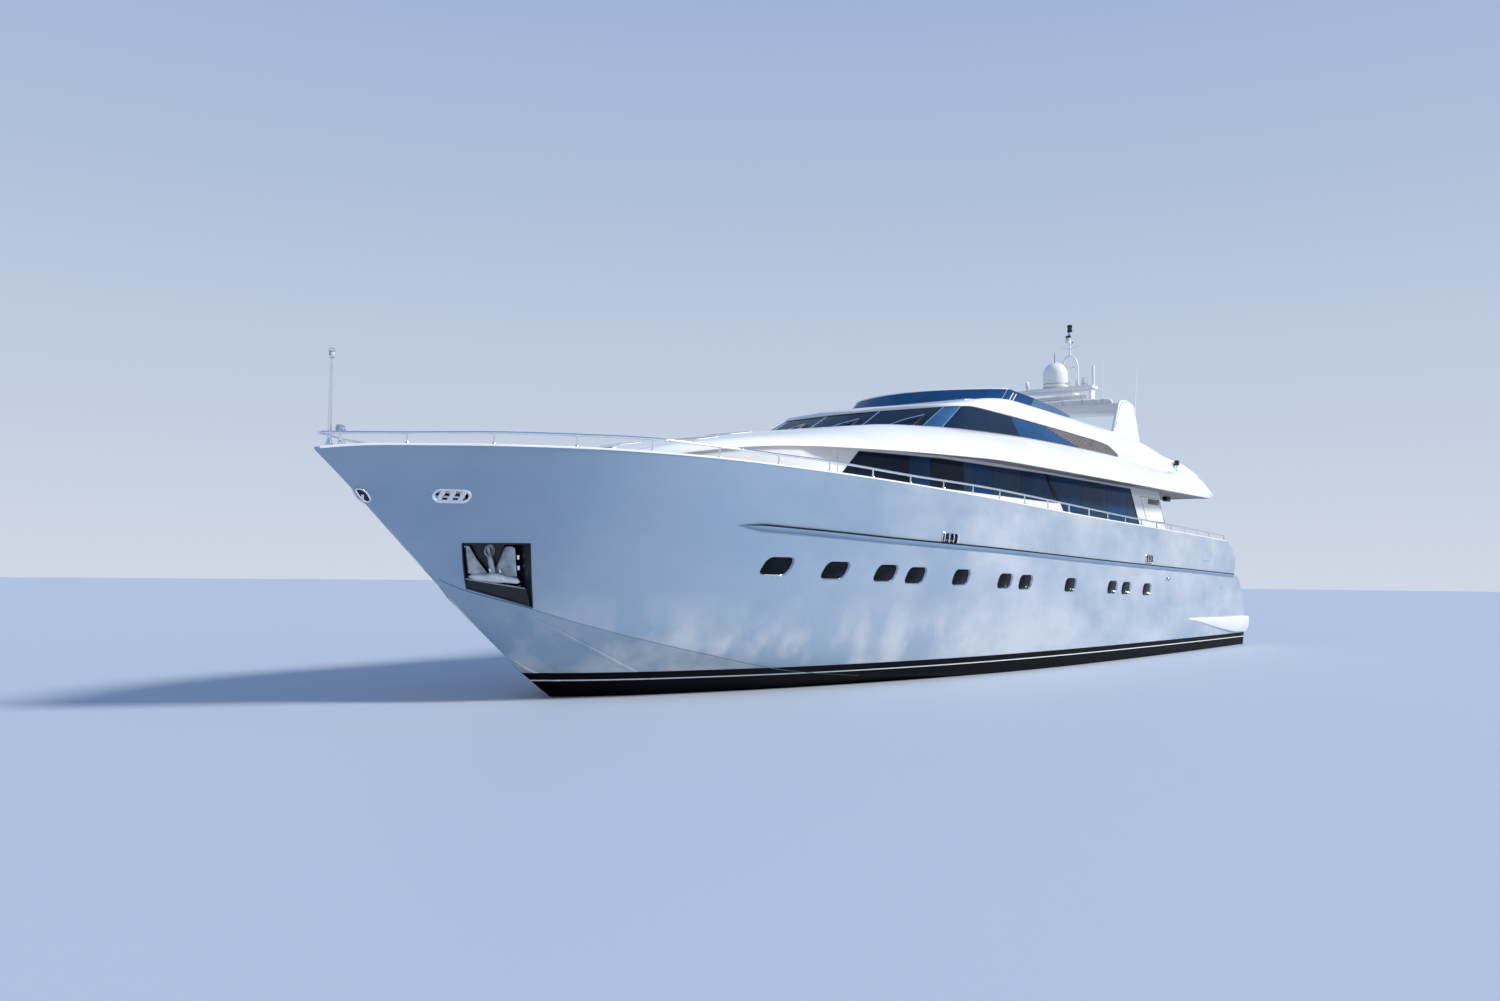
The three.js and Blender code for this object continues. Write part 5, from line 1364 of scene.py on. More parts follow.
wheel_up = Vector((math.sin(0.4), 0, math.cos(0.4)))
wheel_rim = [wheel_middle + wheel_up * math.cos(a) * wheel_radius + Vector((0, 1, 0)) * math.sin(a)
    * wheel_radius for a in circle(32, True)]
parts.append(rod(wheel_rim, 0.016, black, 10))
for k in range(5):
    parts.append(rod([wheel_middle, wheel_rim[round(k * 32 / 5)]], [0.014, 0.009], chrome, 8))
parts.append(rod([wheel_middle + Vector((-0.02, 0, 0)), wheel_middle + Vector((0.17, 0, 0.07))],
    [0.045, 0.03], chrome, 16))
for y in (helm_y + 0.72, helm_y + 0.80):
    parts.append(tube([(15.82, y, 5.74), (15.86, y, 5.86), (15.90, y, 5.90)], [0.012, 0.010, 0.020], chrome,
        8))
parts.append(tube([(15.90, 1.7, 5.55), (15.95, 1.66, 5.57), (15.96, 0.2, 5.57), (15.90, 0.16, 5.55)], 0.014,
    chrome, 10))
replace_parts(make("flybridge_console", parts, crease=40), "flybridge_dash")

# Flybridge screen: a low curved windscreen of blue glass that stands on the console and the coamings in a
# black bed, with a white rail along its head in front, two posts at each corner and a clear tail on each
# side.

screen_rows = [
    (14.75, 0.000, 5.846, 15.25, 0.000, 6.245),
    (14.85, 0.600, 5.858, 15.33, 0.600, 6.245),
    (15.06, 1.120, 5.884, 15.50, 1.110, 6.245),
    (15.33, 1.560, 5.916, 15.72, 1.540, 6.246),
    (15.56, 1.830, 5.970, 15.90, 1.800, 6.248),
    (15.85, 2.040, 5.981, 16.15, 2.040, 6.250),
    (16.10, 2.066, 5.972, 16.40, 2.062, 6.240),
    (16.50, 2.066, 5.976, 16.78, 2.062, 6.230),
    (17.50, 2.066, 5.968, 17.70, 2.062, 6.190),
    (18.60, 2.056, 5.960, 18.75, 2.050, 6.130),
    (19.60, 2.040, 5.944, 19.70, 2.030, 6.030),
]
screen_band = with_run(screen_rows)
screen_thickness = 0.020
corner_run = screen_band[5][0]
clear_from, screen_end = run_where(screen_band, 1, 17.3), screen_band[-1][0] - 0.002
clear_glass = tinted("clear blue glass", (0.12, 0.24, 0.40), transmission_weight=0.5)
pane_runs = [0.0, screen_band[2][0], screen_band[4][0], corner_run + 0.05, run_where(screen_band, 1, 16.7),
    clear_from]
parts = []
for a, b in zip(pane_runs, pane_runs[1:]):
    parts.append(panel(screen_band, a + 0.002, b - 0.002, 0, 1, 0, -screen_thickness, blue_glass, 14, 4))
parts.append(panel(screen_band, clear_from + 0.002, screen_end, 0, 1, 0, -screen_thickness, clear_glass, 20,
    3))
parts.append(panel(screen_band, 0, screen_end, 0, 0.035, 0.004, -screen_thickness - 0.004, sealant, 60, 1))
parts.append(panel(screen_band, 0, corner_run + 0.02, 0.93, 1.0, 0.012, -screen_thickness - 0.010, white,
    40, 2))
parts.append(panel(screen_band, corner_run - 0.008, corner_run + 0.008, 0, 1.0, 0.004, -screen_thickness,
    sealant, 2, 3))
for run in (corner_run + 0.30, corner_run + 0.46):
    parts.append(panel(screen_band, run - 0.020, run + 0.020, 0.04, 0.80, 0.006, -screen_thickness - 0.004,
        white, 2, 3))
screen = make("flybridge_windscreen", both(parts), crease=40)
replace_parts(screen, "flybridge_screen")

# Saloon windows: long bands of flush panes on each side, alternately dark and blue, in a black bed, with the
# walls' own finish around them. Curtains are drawn behind the lighter panes.

pane_dark = tinted("dark saloon glass", (0.005, 0.014, 0.034))
pane_blue = tinted("blue saloon glass", (0.008, 0.042, 0.120))
pane_curtain = tinted("saloon glass with curtains", (0.018, 0.048, 0.100), 0.08)
forward_foot, forward_head = [(8.45, 3.68), (17.55, 3.70)], [(8.45, 3.68), (9.05, 4.16), (12.0, 4.28),
    (16.95, 4.34), (17.55, 3.70)]
aft_foot = [(17.08, 4.34), (18.30, 3.15), (23.10, 3.15)]
aft_head = [(17.08, 4.34), (22.25, 4.35), (23.10, 3.15)]
pane_outer, pane_inner, wall_face = 2.584, 2.558, 2.583


def height_on(line, s):
    return float(np.interp(s, [p[0] for p in line], [p[1] for p in line]))


def lite(foot, head, s0, s1, material):
    """One flush pane between two lines, its edges kept off the next."""
    gap = 0.006
    stations = [s0 + gap, *[p[0] for p in foot + head if s0 + gap < p[0] < s1 - gap], s1 - gap]
    rings = []
    for s in sorted(set(stations)):
        low, high = height_on(foot, s) + gap, height_on(head, s) - gap
        high = max(high, low + 0.002)
        rings.append([(at(s), pane_inner, low), (at(s), pane_outer, low), (at(s), pane_outer, high),
            (at(s), pane_inner, high)])
    return loft(rings, material)


forward_edges = [8.46, 10.83, 11.63, 13.0, 13.45, 14.33, 15.7, 17.54]
aft_edges = [17.10, 19.05, 20.6, 22.1, 23.09]
forward_kinds = [pane_dark, pane_blue, pane_dark, pane_curtain, pane_blue, pane_curtain, pane_blue]
aft_kinds = [pane_blue, pane_curtain, pane_blue, pane_curtain]
for kind, foot, head, edges, kinds in (("forward", forward_foot, forward_head, forward_edges,
        forward_kinds), ("aft", aft_foot, aft_head, aft_edges, aft_kinds)):
    lites = [lite(foot, head, a, b, material) for a, b, material in zip(edges, edges[1:], kinds)]
    pair(f"saloon_panes_{kind}", lites, f"saloon_glass_{kind}")

parts = []
for foot, head in ((forward_foot, forward_head), (aft_foot, aft_head)):
    outline = [*foot, *head[::-1]]
    for (s0, z0), (s1, z1) in zip(outline, outline[1:] + outline[:1]):
        if math.hypot(s1 - s0, z1 - z0) > 0.01:
            parts.append(tube([(s0, wall_face, z0), (s1, wall_face, z1)], 0.014, sealant, 6))
slanted_post = [(16.94, 4.335), (17.09, 4.335), (17.72, 3.715), (17.55, 3.705)]
parts.append(side_prism(slanted_post, 2.598, 2.606, pane_dark))
for s in np.arange(23.55, 24.35, 0.085):
    parts.append(tube([(s, 2.600, 4.02), (s + 0.05, 2.600, 4.16)], 0.017, louvre_grey, 6))
panel_line = [(23.42, 3.56), (24.86, 3.56), (24.36, 4.20), (22.98, 4.20), (23.42, 3.56)]
parts.append(tube([(s, 2.598, z) for s, z in panel_line], 0.008, sealant, 6))
for s in (12.4, 16.2, 20.0, 24.6):
    parts.append(loft([[(at(s) + math.cos(a) * 0.05 * f, y, 2.62 + math.sin(a) * 0.05 * f)
        for a in circle(16)] for y, f in ((2.59, 1.0), (2.615, 1.0), (2.622, 0.7))], chrome))
make("saloon_wall_trim", both(parts))

# Side-deck handrails: two lengths of polished rail along each house wall under the windows, on round posts.

parts = []
for s0, s1 in ((9.2, 12.9), (13.3, 17.2)):
    parts.append(tube([(s0, 2.60, 3.40), (s0 + 0.04, 2.67, 3.42), (s1 - 0.04, 2.67, 3.42),
        (s1, 2.60, 3.40)], 0.016, chrome, 10))
    for s in np.linspace(s0 + 0.9, s1 - 0.9, 3):
        parts.append(tube([(s, 2.595, 3.40), (s, 2.67, 3.42)], 0.010, chrome, 8))
make("side_deck_handrails", both(parts))

# Saloon doorway: two framed glass leaves that slide apart behind the bulkhead, each with a polished frame, a
# clear grey pane and an upright grip.

door_s0, door_s1 = 23.606, 23.646
door_glass = tinted("clear grey door glass", (0.10, 0.13, 0.16), transmission_weight=0.6)
door_foot, door_head = deck_z(23.6) + 0.02, 4.24
leaf_near, leaf_far, stile = 0.003, 1.18, 0.075
parts = [block(door_s0, door_s1, leaf_near, leaf_near + stile, door_foot, door_head, blue_reflection_silver),
    block(door_s0, door_s1, leaf_far - stile, leaf_far, door_foot, door_head, blue_reflection_silver),
    block(door_s0 + 0.001, door_s1 - 0.001, leaf_near + stile - 0.001, leaf_far - stile + 0.001, door_foot,
    door_foot + 0.12, blue_reflection_silver), block(door_s0 + 0.001, door_s1 - 0.001, leaf_near + stile - 0.001,
    leaf_far - stile + 0.001, door_head - 0.08, door_head, blue_reflection_silver),
    block(23.620, 23.632, leaf_near + stile - 0.01, leaf_far - stile + 0.01, door_foot + 0.11,
    door_head - 0.07, door_glass), tube([(23.640, 0.041, 3.30), (23.652, 0.041, 3.32),
    (23.652, 0.041, 3.58), (23.640, 0.041, 3.60)], 0.0035, chrome, 8)]
pair("sliding_leaf", parts, "saloon_door", "door")

# Radar arch: two swept fins that rise from the coamings, a beam between them with a rolled cover lashed to
# its fore edge, the radar's gearbox pedestal, and three whip aerials in their sockets.

fin_line = [(21.84, 5.70), (22.085, 6.17), (22.33, 6.64), (22.39, 6.71), (22.48, 6.76), (22.68, 6.785),
    (22.90, 6.80), (23.12, 6.765), (23.30, 6.70), (23.44, 6.57), (23.56, 6.42), (23.74, 5.98),
    (23.86, 5.69), (23.86, 5.52), (22.50, 5.52), (21.84, 5.62)]
fin_centre = (22.9, 6.15)


def drawn_in(line, centre, amount):
    """An outline moved toward its middle, each point by the same amount."""
    result = []
    for s, z in line:
        reach = math.hypot(s - centre[0], z - centre[1])
        result.append((centre[0] + (s - centre[0]) * (1 - amount / reach),
            centre[1] + (z - centre[1]) * (1 - amount / reach)))
    return result


fin = loft([[(at(s), y, z) for s, z in drawn_in(fin_line, fin_centre, inset)]
    for y, inset in ((2.205, 0.030), (2.209, 0.012), (2.220, 0.0), (2.282, 0.0), (2.293, 0.012),
    (2.297, 0.030))], white)
beam_section = [(22.65, 6.56), (22.68, 6.515), (22.75, 6.48), (23.10, 6.475), (23.56, 6.48), (23.63, 6.52),
    (23.66, 6.58), (23.66, 6.66), (23.65, 6.71), (23.60, 6.745), (23.48, 6.79), (23.15, 6.805),
    (22.80, 6.79), (22.71, 6.76), (22.66, 6.71), (22.65, 6.64)]
beam_half, beam_camber, beam_lift = 2.22, 0.07, 0.05
roll_s, roll_z, roll_half = 22.70, 6.84, 1.95


def drop(y):
    """How far the beam's line has dropped at a distance from its middle."""
    return beam_camber * (y / beam_half)**2


beam_rings = [[(at(s), y, z + beam_lift - drop(y)) for s, z in beam_section]
    for y in np.linspace(-beam_half, beam_half, 25)]
parts = [fin, mirrored(fin), loft(beam_rings, white)]
# A black seam along each fin's fore edge: painted shadow in the gap between the beam's end and the fin.
shadow_gap_line = [(21.98, 5.98), (22.36, 6.64), (22.52, 6.735), (22.90, 6.775)]
for side in (1, -1):
    parts.append(tube([(s + 0.03, side * 2.2975, z - 0.02) for s, z in shadow_gap_line], 0.006, sealant, 6))


def turned(profile, s, y, material, sides=32):
    """A body turned about an upright axis from (radius, z) points."""
    return loft([[(at(s) + math.cos(a) * r, y + math.sin(a) * r, z) for a in circle(sides)]
        for r, z in profile], material)


radar_s = 23.45
parts.append(turned([(0.19, 6.76), (0.192, 6.83), (0.185, 6.85), (0.17, 6.87), (0.165, 6.93), (0.15, 6.955),
    (0.12, 6.97), (0.118, 6.986)], radar_s, 0, white))
cloth_white = worn(node_finish("white cover cloth", "cushion", (0.74, 0.74, 0.72), 0.85, sheen_weight=0.3),
    6, 0.06, 500, 0.0006)
roll = [Vector((at(roll_s), y, roll_z - drop(y))) for y in np.linspace(-roll_half, roll_half, 60)]
parts.append(rod(roll, [0.035] + [0.078 + 0.007 * math.sin(k * 2.1) * math.cos(k * 0.7)
    for k in range(58)] + [0.035], cloth_white, 20))
for y in np.linspace(-1.7, 1.7, 7):
    centre = Vector((at(roll_s), y, roll_z - drop(y)))
    parts.append(rod([centre + Vector((math.cos(a) * 0.083, 0, math.sin(a) * 0.083))
        for a in circle(20, True)], 0.006, blue_reflection_silver, 6))
for s0, y, z0, s1, z1 in ((23.30, 1.45, 6.77, 23.30, 8.30), (23.30, -1.45, 6.77, 23.30, 7.85),
        (23.56, 2.25, 6.30, 23.90, 8.93)):
    foot, tip = Vector((at(s0), y, z0)), Vector((at(s1), y, z1))
    parts.append(rod([foot, foot.lerp(tip, 0.06), foot.lerp(tip, 0.07), foot.lerp(tip, 0.42),
        foot.lerp(tip, 0.43), tip], [0.026, 0.024, 0.015, 0.012, 0.009, 0.005], white, 10))
    parts.append(rod([foot.lerp(tip, 0.05), foot.lerp(tip, 0.075)], 0.028, chrome, 12))
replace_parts(make("arch_moulding", parts, crease=40), "radar_arch")

# Radar scanner: an open array turned by the gearbox below it, a rounded bar with a flatter back, sealed end
# caps and a hub.

scanner_rings = []
for y, scale in ((-0.90, 0.80), (-0.895, 0.93), (-0.88, 1), (-0.3, 1), (0, 1), (0.3, 1), (0.88, 1),
        (0.895, 0.93), (0.90, 0.80)):
    scanner_rings.append([(at(radar_s - 0.005 + x * scale), y, 7.09 + z * scale)
        for x, z in ((-0.065, -0.030), (-0.055, -0.052), (-0.035, -0.060), (0.040, -0.060), (0.058, -0.050),
        (0.065, -0.030), (0.065, 0.030), (0.058, 0.050), (0.040, 0.060), (-0.035, 0.060), (-0.055, 0.052),
        (-0.065, 0.030))])
parts = [loft(scanner_rings, white), turned([(0.070, 6.989), (0.070, 7.02), (0.060, 7.04)], radar_s, 0,
    blue_reflection_silver)]
for y in (-0.80, 0.80):
    parts.append(tube([(radar_s - 0.005 + x * 1.012, y, 7.09 + z * 1.012) for x, z in (
        (-0.065, -0.030), (-0.035, -0.060), (0.040, -0.060), (0.065, -0.030), (0.065, 0.030), (0.040, 0.060),
        (-0.035, 0.060), (-0.065, 0.030), (-0.065, -0.030))], 0.003, sealant, 6))
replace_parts(make("scanner_bar", parts, "scanner", crease=40), "radar_scanner")

# Satellite dome: a white radome in two halves, clamped by a flange on a raised foot.

dome_radius, dome_shoulder_z, dome_rise = 0.350, 7.79, 0.367
dome_profile = [(0.26, 7.382), (0.30, 7.395), (0.345, 7.42), (dome_radius, 7.45), (dome_radius, 7.50),
    (0.3485, 7.505), (0.3485, 7.512), (dome_radius, 7.517), (dome_radius, dome_shoulder_z)]
dome_profile += [(dome_radius * math.cos(a), dome_shoulder_z + dome_rise * math.sin(a))
    for a in (math.pi / 2 * k / 14 for k in range(1, 14))]
dome_profile.append((0.012, 8.157))
parts = [turned(dome_profile, radar_s, 0, white, 48),
    turned([(0.352, 7.504), (0.3535, 7.507), (0.3535, 7.511), (0.352, 7.514)], radar_s, 0, sealant, 48)]
for a in circle(6):
    parts.append(turned([(0.018, 7.40), (0.018, 7.432), (0.010, 7.438)], radar_s + 0.31 * math.cos(a),
        0.31 * math.sin(a), chrome, 8))
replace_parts(make("radome", parts, crease=40), "satellite_dome")

# Mast platform: a wing on two posts above the beam with a boom aft to the mast's foot; a small dome, an
# aerial and two horns stand on it.

wing_rings = []
wing_half = 1.18
for y in np.linspace(-wing_half, wing_half, 23):
    reach = abs(y) / wing_half
    half, foot_z = 0.36 - 0.14 * reach**2, 7.25 + 0.05 * reach**2
    wing_rings.append([(at(radar_s + part * half), y, z)
        for part, z in ((-1, foot_z + 0.05), (-0.94, foot_z + 0.02), (-0.5, foot_z), (0.6, foot_z),
        (0.95, foot_z + 0.025), (1, foot_z + 0.06), (1, 7.36), (0.985, 7.372), (0.94, 7.379),
        (-0.94, 7.379), (-0.985, 7.372), (-1, 7.36))])
boom_rings = []
for s in np.linspace(23.6, 24.68, 14):
    half = 0.33 - 0.10 * ((s - 23.6) / 1.08)**2
    boom_rings.append([(at(s), part * half, z) for part, z in ((-1, 7.30), (-0.9, 7.27), (0.9, 7.27),
        (1, 7.30), (1, 7.362), (0.95, 7.377), (-0.95, 7.377), (-1, 7.362))])
parts = [loft(wing_rings, white), loft(boom_rings, white)]
for y in (-1.08, 1.08):
    parts.append(loft([[(at(radar_s + 0.02 + x * f + lean), y + w * f, z)
        for x, w in rounded(0.30, 0.09, 0.043, 0, 4)]
        for z, f, lean in ((6.78, 1.12, 0), (6.84, 1.0, 0), (7.05, 0.92, 0), (7.29, 1.0, 0))], white))
parts += [turned([(0.070, 7.375), (0.070, 7.42), (0.092, 7.45), (0.092, 7.54), (0.085, 7.585),
    (0.062, 7.622), (0.03, 7.638), (0.004, 7.64)], radar_s, 0.86, white, 28),
    turned([(0.03, 7.375), (0.03, 7.46), (0.058, 7.475), (0.062, 7.50), (0.055, 7.60), (0.03, 7.66),
    (0.004, 7.67)], radar_s, -0.86, white, 24), turned([(0.094, 7.448), (0.0955, 7.452), (0.094, 7.456)],
    radar_s, 0.86, sealant, 28), tube([(23.20, 0.55, 7.36), (23.20, 0.55, 7.44), (23.16, 0.55, 7.46)],
    0.012, chrome, 8), tube([(23.34, 0.55, 7.46), (23.18, 0.55, 7.46), (23.13, 0.55, 7.46),
    (23.10, 0.55, 7.46)], [0.014, 0.016, 0.026, 0.045], chrome, 16),
    tube([(23.36, 0.47, 7.46), (23.20, 0.47, 7.46), (23.15, 0.47, 7.46), (23.12, 0.47, 7.46)],
    [0.014, 0.016, 0.024, 0.040], chrome, 16),]
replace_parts(make("mast_platform_moulding", parts, crease=40), "mast_platform")

# Mast: a white hoop across the boom with a pole above it, a raised yard, and navigation lamps in dark hoods.

mast_s = 24.50
lamp_glass = tinted("lamp lens", (0.55, 0.58, 0.60), 0.12)
hoop = [(0.22, 7.36), (0.245, 7.6), (0.245, 8.0), (0.225, 8.25), (0.16, 8.42), (0.06, 8.50)]
hoop_path = [(at(mast_s), y, z) for y, z in hoop] + [(at(mast_s), -y, z) for y, z in hoop[::-1]]
parts = [rod(hoop_path, 0.030, white, 14), tube([(mast_s, -0.24, 8.16), (mast_s, 0.24, 8.16)], 0.018, white,
    10), tube([(mast_s, 0, 8.48), (mast_s, 0, 8.60), (mast_s, 0, 9.12)], [0.040, 0.030, 0.024], white, 14),
    tube([(mast_s, -0.30, 8.80), (mast_s, 0, 8.70), (mast_s, 0.32, 8.80)], [0.010, 0.016, 0.010], white,
    10)]
lamp_stack = [  # distance ahead of the pole, then (radius, z) profiles with their materials
    (0.0, [(0.030, 9.10), (0.050, 9.12), (0.056, 9.16), (0.050, 9.20), (0.034, 9.215)], lamp_glass),
    (0.0, [(0.040, 9.21), (0.072, 9.22), (0.078, 9.25), (0.060, 9.31), (0.074, 9.36), (0.074, 9.41),
           (0.050, 9.43)], black),
    (0.11, [(0.030, 8.84), (0.080, 8.86), (0.084, 8.91), (0.078, 8.945)], white),
    (0.11, [(0.076, 8.94), (0.078, 8.99), (0.070, 9.03)], lamp_glass),
    (0.11, [(0.074, 9.025), (0.082, 9.04), (0.078, 9.075), (0.050, 9.09)], black),
]
for ahead, profile, material in lamp_stack:
    parts.append(turned(profile, mast_s - ahead, 0, material, 24))
parts.append(tube([(mast_s, 0, 8.87), (mast_s - 0.11, 0, 8.87)], 0.020, white, 10))
parts.append(tube([(mast_s, 0.07, 8.90), (mast_s, 0.09, 8.90)], 0.022, black, 12))
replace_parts(make("mast_and_lamps", parts, crease=40), "mast")

parts = [
    turned([(0.040, 7.375), (0.040, 7.93), (0.030, 7.96), (0.004, 7.965)], 23.52, 1.10, white, 20),
    turned([(0.020, 7.375), (0.018, 7.74), (0.010, 7.76)], 23.36, 0.66, white, 12),
    turned([(0.010, 7.375), (0.008, 8.30), (0.003, 8.42)], 23.30, 0.05, black, 8),
]
make("platform_aerials", parts)

# Foredeck windlasses: two upright capstans, each with a chain wheel below a rope drum on a bolted base, a
# foot switch behind it, and the chain with its stopper ahead of it; and the mooring cleats on both sides.

windlass_s, windlass_y = 2.25, 0.38
parts = [turned([(0.168, 2.998), (0.170, 3.01), (0.170, 3.08), (0.160, 3.10), (0.125, 3.112),
    (0.112, 3.12)], windlass_s, windlass_y, galvanised, 36),
    turned([(0.112, 3.118), (0.118, 3.122), (0.104, 3.142), (0.092, 3.155), (0.104, 3.168), (0.118, 3.190),
    (0.110, 3.196)], windlass_s, windlass_y, galvanised, 36),
    turned([(0.086, 3.195), (0.082, 3.215), (0.096, 3.236), (0.138, 3.244), (0.148, 3.252), (0.150, 3.275),
    (0.146, 3.290), (0.110, 3.302), (0.080, 3.309)], windlass_s, windlass_y, chrome, 36),]
for a in circle(6):
    parts.append(rod([(at(windlass_s) + math.cos(a) * 0.145, windlass_y + math.sin(a) * 0.145, 3.09),
        (at(windlass_s) + math.cos(a) * 0.145, windlass_y + math.sin(a) * 0.145, 3.108)], 0.011, chrome, 8))
    parts.append(rod([(at(windlass_s) + math.cos(a) * 0.086, windlass_y + math.sin(a) * 0.086, 3.196),
        (at(windlass_s) + math.cos(a) * 0.080, windlass_y + math.sin(a) * 0.080, 3.236)], 0.006, chrome, 6))
pair("capstan", parts, "windlass", crease=40)


def cleat(s, y, z, length, turn):
    """A two-horned mooring cleat on two feet."""
    ahead = Vector((math.cos(turn), math.sin(turn), 0))
    middle = Vector((at(s), y, z))
    horn = [middle + ahead * length * f + Vector((0, 0, lift)) for f, lift in (
        (-0.5, 0.098), (-0.42, 0.092), (-0.2, 0.080), (0, 0.078), (0.2, 0.080), (0.42, 0.092), (0.5, 0.098))]
    parts = [rod(horn, [0.010, 0.018, 0.024, 0.026, 0.024, 0.018, 0.010], chrome, 12)]
    for f in (-0.16, 0.16):
        parts.append(rod([middle + ahead * length * f + Vector((0, 0, h))
            for h in (0.0, 0.012, 0.04, 0.08)], [0.040, 0.030, 0.020, 0.020], chrome, 12))
    return parts


parts = []
for s, y, turn in ((1.45, 0.62, 0.4), (6.1, 2.42, 0.12), (16.8, 3.25, 0.0), (26.9, 3.18, 0.0)):
    parts += cleat(s, y, deck_z(s), 0.40, -turn)
stopper = [(1.62, 3.02), (1.62, 3.10), (1.66, 3.14), (1.80, 3.14), (1.84, 3.10), (1.84, 3.02)]
for y0, y1 in ((0.31, 0.35), (0.41, 0.45)):
    parts.append(side_prism([(s, z) for s, z in stopper], y0, y1, chrome))
parts.append(tube([(1.70, 0.30, 3.12), (1.70, 0.46, 3.12)], 0.014, chrome, 10))
for k in range(7):
    s = 1.30 + k * 0.115
    turn = math.pi / 2 if k % 2 else 0.0
    ring = [(at(s + 0.062 * math.cos(a)), 0.38 + 0.034 * math.sin(a) * math.cos(turn),
        deck_z(1.6) + 0.045 + 0.034 * math.sin(a) * math.sin(turn)) for a in circle(14, True)]
    parts.append(rod(ring, 0.013, galvanised, 6))
parts.append(turned([(0.05, deck_z(2.7) - 0.01), (0.05, deck_z(2.7) + 0.02), (0.03, deck_z(2.7) + 0.03)],
    2.72, 0.30, black, 16))
make("foredeck_fittings", both(parts))

# Searchlight: a polished lamp in a yoke on a short pedestal at the stem. Behind it come the coachroof's
# hatches, low white frames with dark panes.

searchlight_s, searchlight_y, lamp_z = 0.30, 0.10, 3.81


def beside_lamp(ahead, aside, above):
    """A point by the searchlight's middle."""
    return Vector((at(searchlight_s - ahead), searchlight_y + aside, lamp_z + above))


parts = [turned([(0.040, 3.610), (0.040, 3.63), (0.016, 3.65), (0.015, 3.73), (0.024, 3.745)],
    searchlight_s, searchlight_y, chrome, 20), rod(
    [beside_lamp(*p) for p in ((0, -0.063, 0), (0, -0.060, -0.05), (0, 0, -0.065), (0, 0.060, -0.05),
    (0, 0.063, 0))], 0.006, chrome, 8), rod([beside_lamp(*p)
    for p in ((-0.065, 0, 0), (-0.06, 0, 0), (-0.03, 0, 0), (0.035, 0, 0), (0.043, 0, 0), (0.044, 0, 0))],
    [0.015, 0.035, 0.049, 0.054, 0.056, 0.049], chrome, 28),
    rod([beside_lamp(0.038, 0, 0), beside_lamp(0.046, 0, 0)], 0.047, lamp_glass, 28),]
make("searchlight", parts)

parts = []
for s, y, half in ((5.05, 0.0, 0.30), (6.6, 0.9, 0.30), (6.6, -0.9, 0.30), (8.6, 0.0, 0.34)):
    crown = []
    for k, (f, lift) in enumerate(((1.0, 0.000), (1.0, 0.018), (0.93, 0.026), (0.86, 0.022))):
        ring = []
        for a, b in rounded(2 * half, 2 * half, 0.09, 0, 4):
            edge_y = abs(y + b * f)
            shoulder_y, shoulder_z = upper_line(SHOULDER_Y, s + a * f), upper_line(SHOULDER_Z, s + a * f)
            crown_z = upper_line(CROWN_Z, s + a * f)
            deck = shoulder_z + (crown_z - shoulder_z) * (1 - min(edge_y / shoulder_y, 1)**2)
            ring.append((at(s + a * f), y + b * f, deck + lift - 0.01))
        crown.append(ring)
    parts.append(loft(crown, white))
    parts.append(loft([[(x, yy, z + 0.004) for x, yy, z in crown[3]],
        [(x, yy, z + 0.008) for x, yy, z in crown[3]]], pane_dark))
make("coachroof_hatches", parts)

# Rail: one polished tube round the bow and along both bulwarks, on turned stanchions with round feet, closed
# at its after ends by a bend down to the capping.

rail_line = [(0.06, 3.740), (0.45, 3.755), (0.87, 3.770), (1.77, 3.820), (2.73, 3.850), (3.83, 3.870),
    (4.53, 3.850), (5.94, 3.800), (7.10, 3.780), (9.34, 3.715), (12.74, 3.680), (19.61, 3.480),
    (25.20, 3.360), (28.10, 3.290)]
stanchion_run = 1.138
rail_radius, rail_inset = 0.0205, 0.055


def rail_y(s):
    return max(hull_line(SHEER_Y, s) - rail_inset, 0.032)


def rail_point(s):
    return Vector((at(s), rail_y(s), smooth(rail_line, 1, s)))


rail_stations = [0.06, 0.08, 0.12, 0.2, 0.3, 0.45, *np.linspace(0.7, 28.06, 130)]
rail_points = [rail_point(s) for s in rail_stations]
tail_point = rail_points[-1]
rail_points += [tail_point + Vector((-0.04, 0, -0.012)), tail_point + Vector((-0.055, 0, -0.06)),
    Vector((at(28.112), rail_y(28.1), hull_line(SHEER_Z, 28.1)))]
parts = [rod(rail_points, rail_radius, chrome, 12)]
stanchion_stations, run, s = [], 0.10, 0.09
while s < 27.6:
    run += math.dist(rail_point(s), rail_point(s + 0.01))
    s += 0.01
    if run >= stanchion_run:
        run = 0.0
        stanchion_stations.append(s)
for s in stanchion_stations:
    head = rail_point(s)
    foot = Vector((head.x, head.y, hull_line(SHEER_Z, s) + 0.012))
    if head.z - foot.z < 0.05:
        continue
    parts.append(rod([foot, foot + Vector((0, 0, 0.012)), foot + Vector((0, 0, 0.02)), head],
        [0.034, 0.030, 0.0145, 0.0125], chrome, 12))
pair("rail_tube", parts, "rail")

# Jackstaff: a polished pole at the stem with a lantern at its head, under a chrome cap.

staff_s = 0.20
parts = [tube([(staff_s, 0, 3.56), (staff_s, 0, 4.0), (staff_s, 0, 4.75)], [0.029, 0.026, 0.020], chrome,
    14), turned([(0.055, 3.563), (0.055, 3.60), (0.036, 3.64), (0.031, 3.70)], staff_s, 0, chrome, 20),
    turned([(0.022, 4.74), (0.040, 4.755), (0.040, 4.775), (0.034, 4.78)], staff_s, 0, chrome, 18),
    turned([(0.036, 4.78), (0.040, 4.80), (0.036, 4.835)], staff_s, 0, lamp_glass, 18),
    turned([(0.036, 4.834), (0.050, 4.838), (0.050, 4.866), (0.030, 4.880), (0.006, 4.882)], staff_s, 0,
    chrome, 18)]
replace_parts(make("jackstaff_and_lantern", parts), "jackstaff")

# Propellers: bronze, four blades of hollow section on a faired hub.

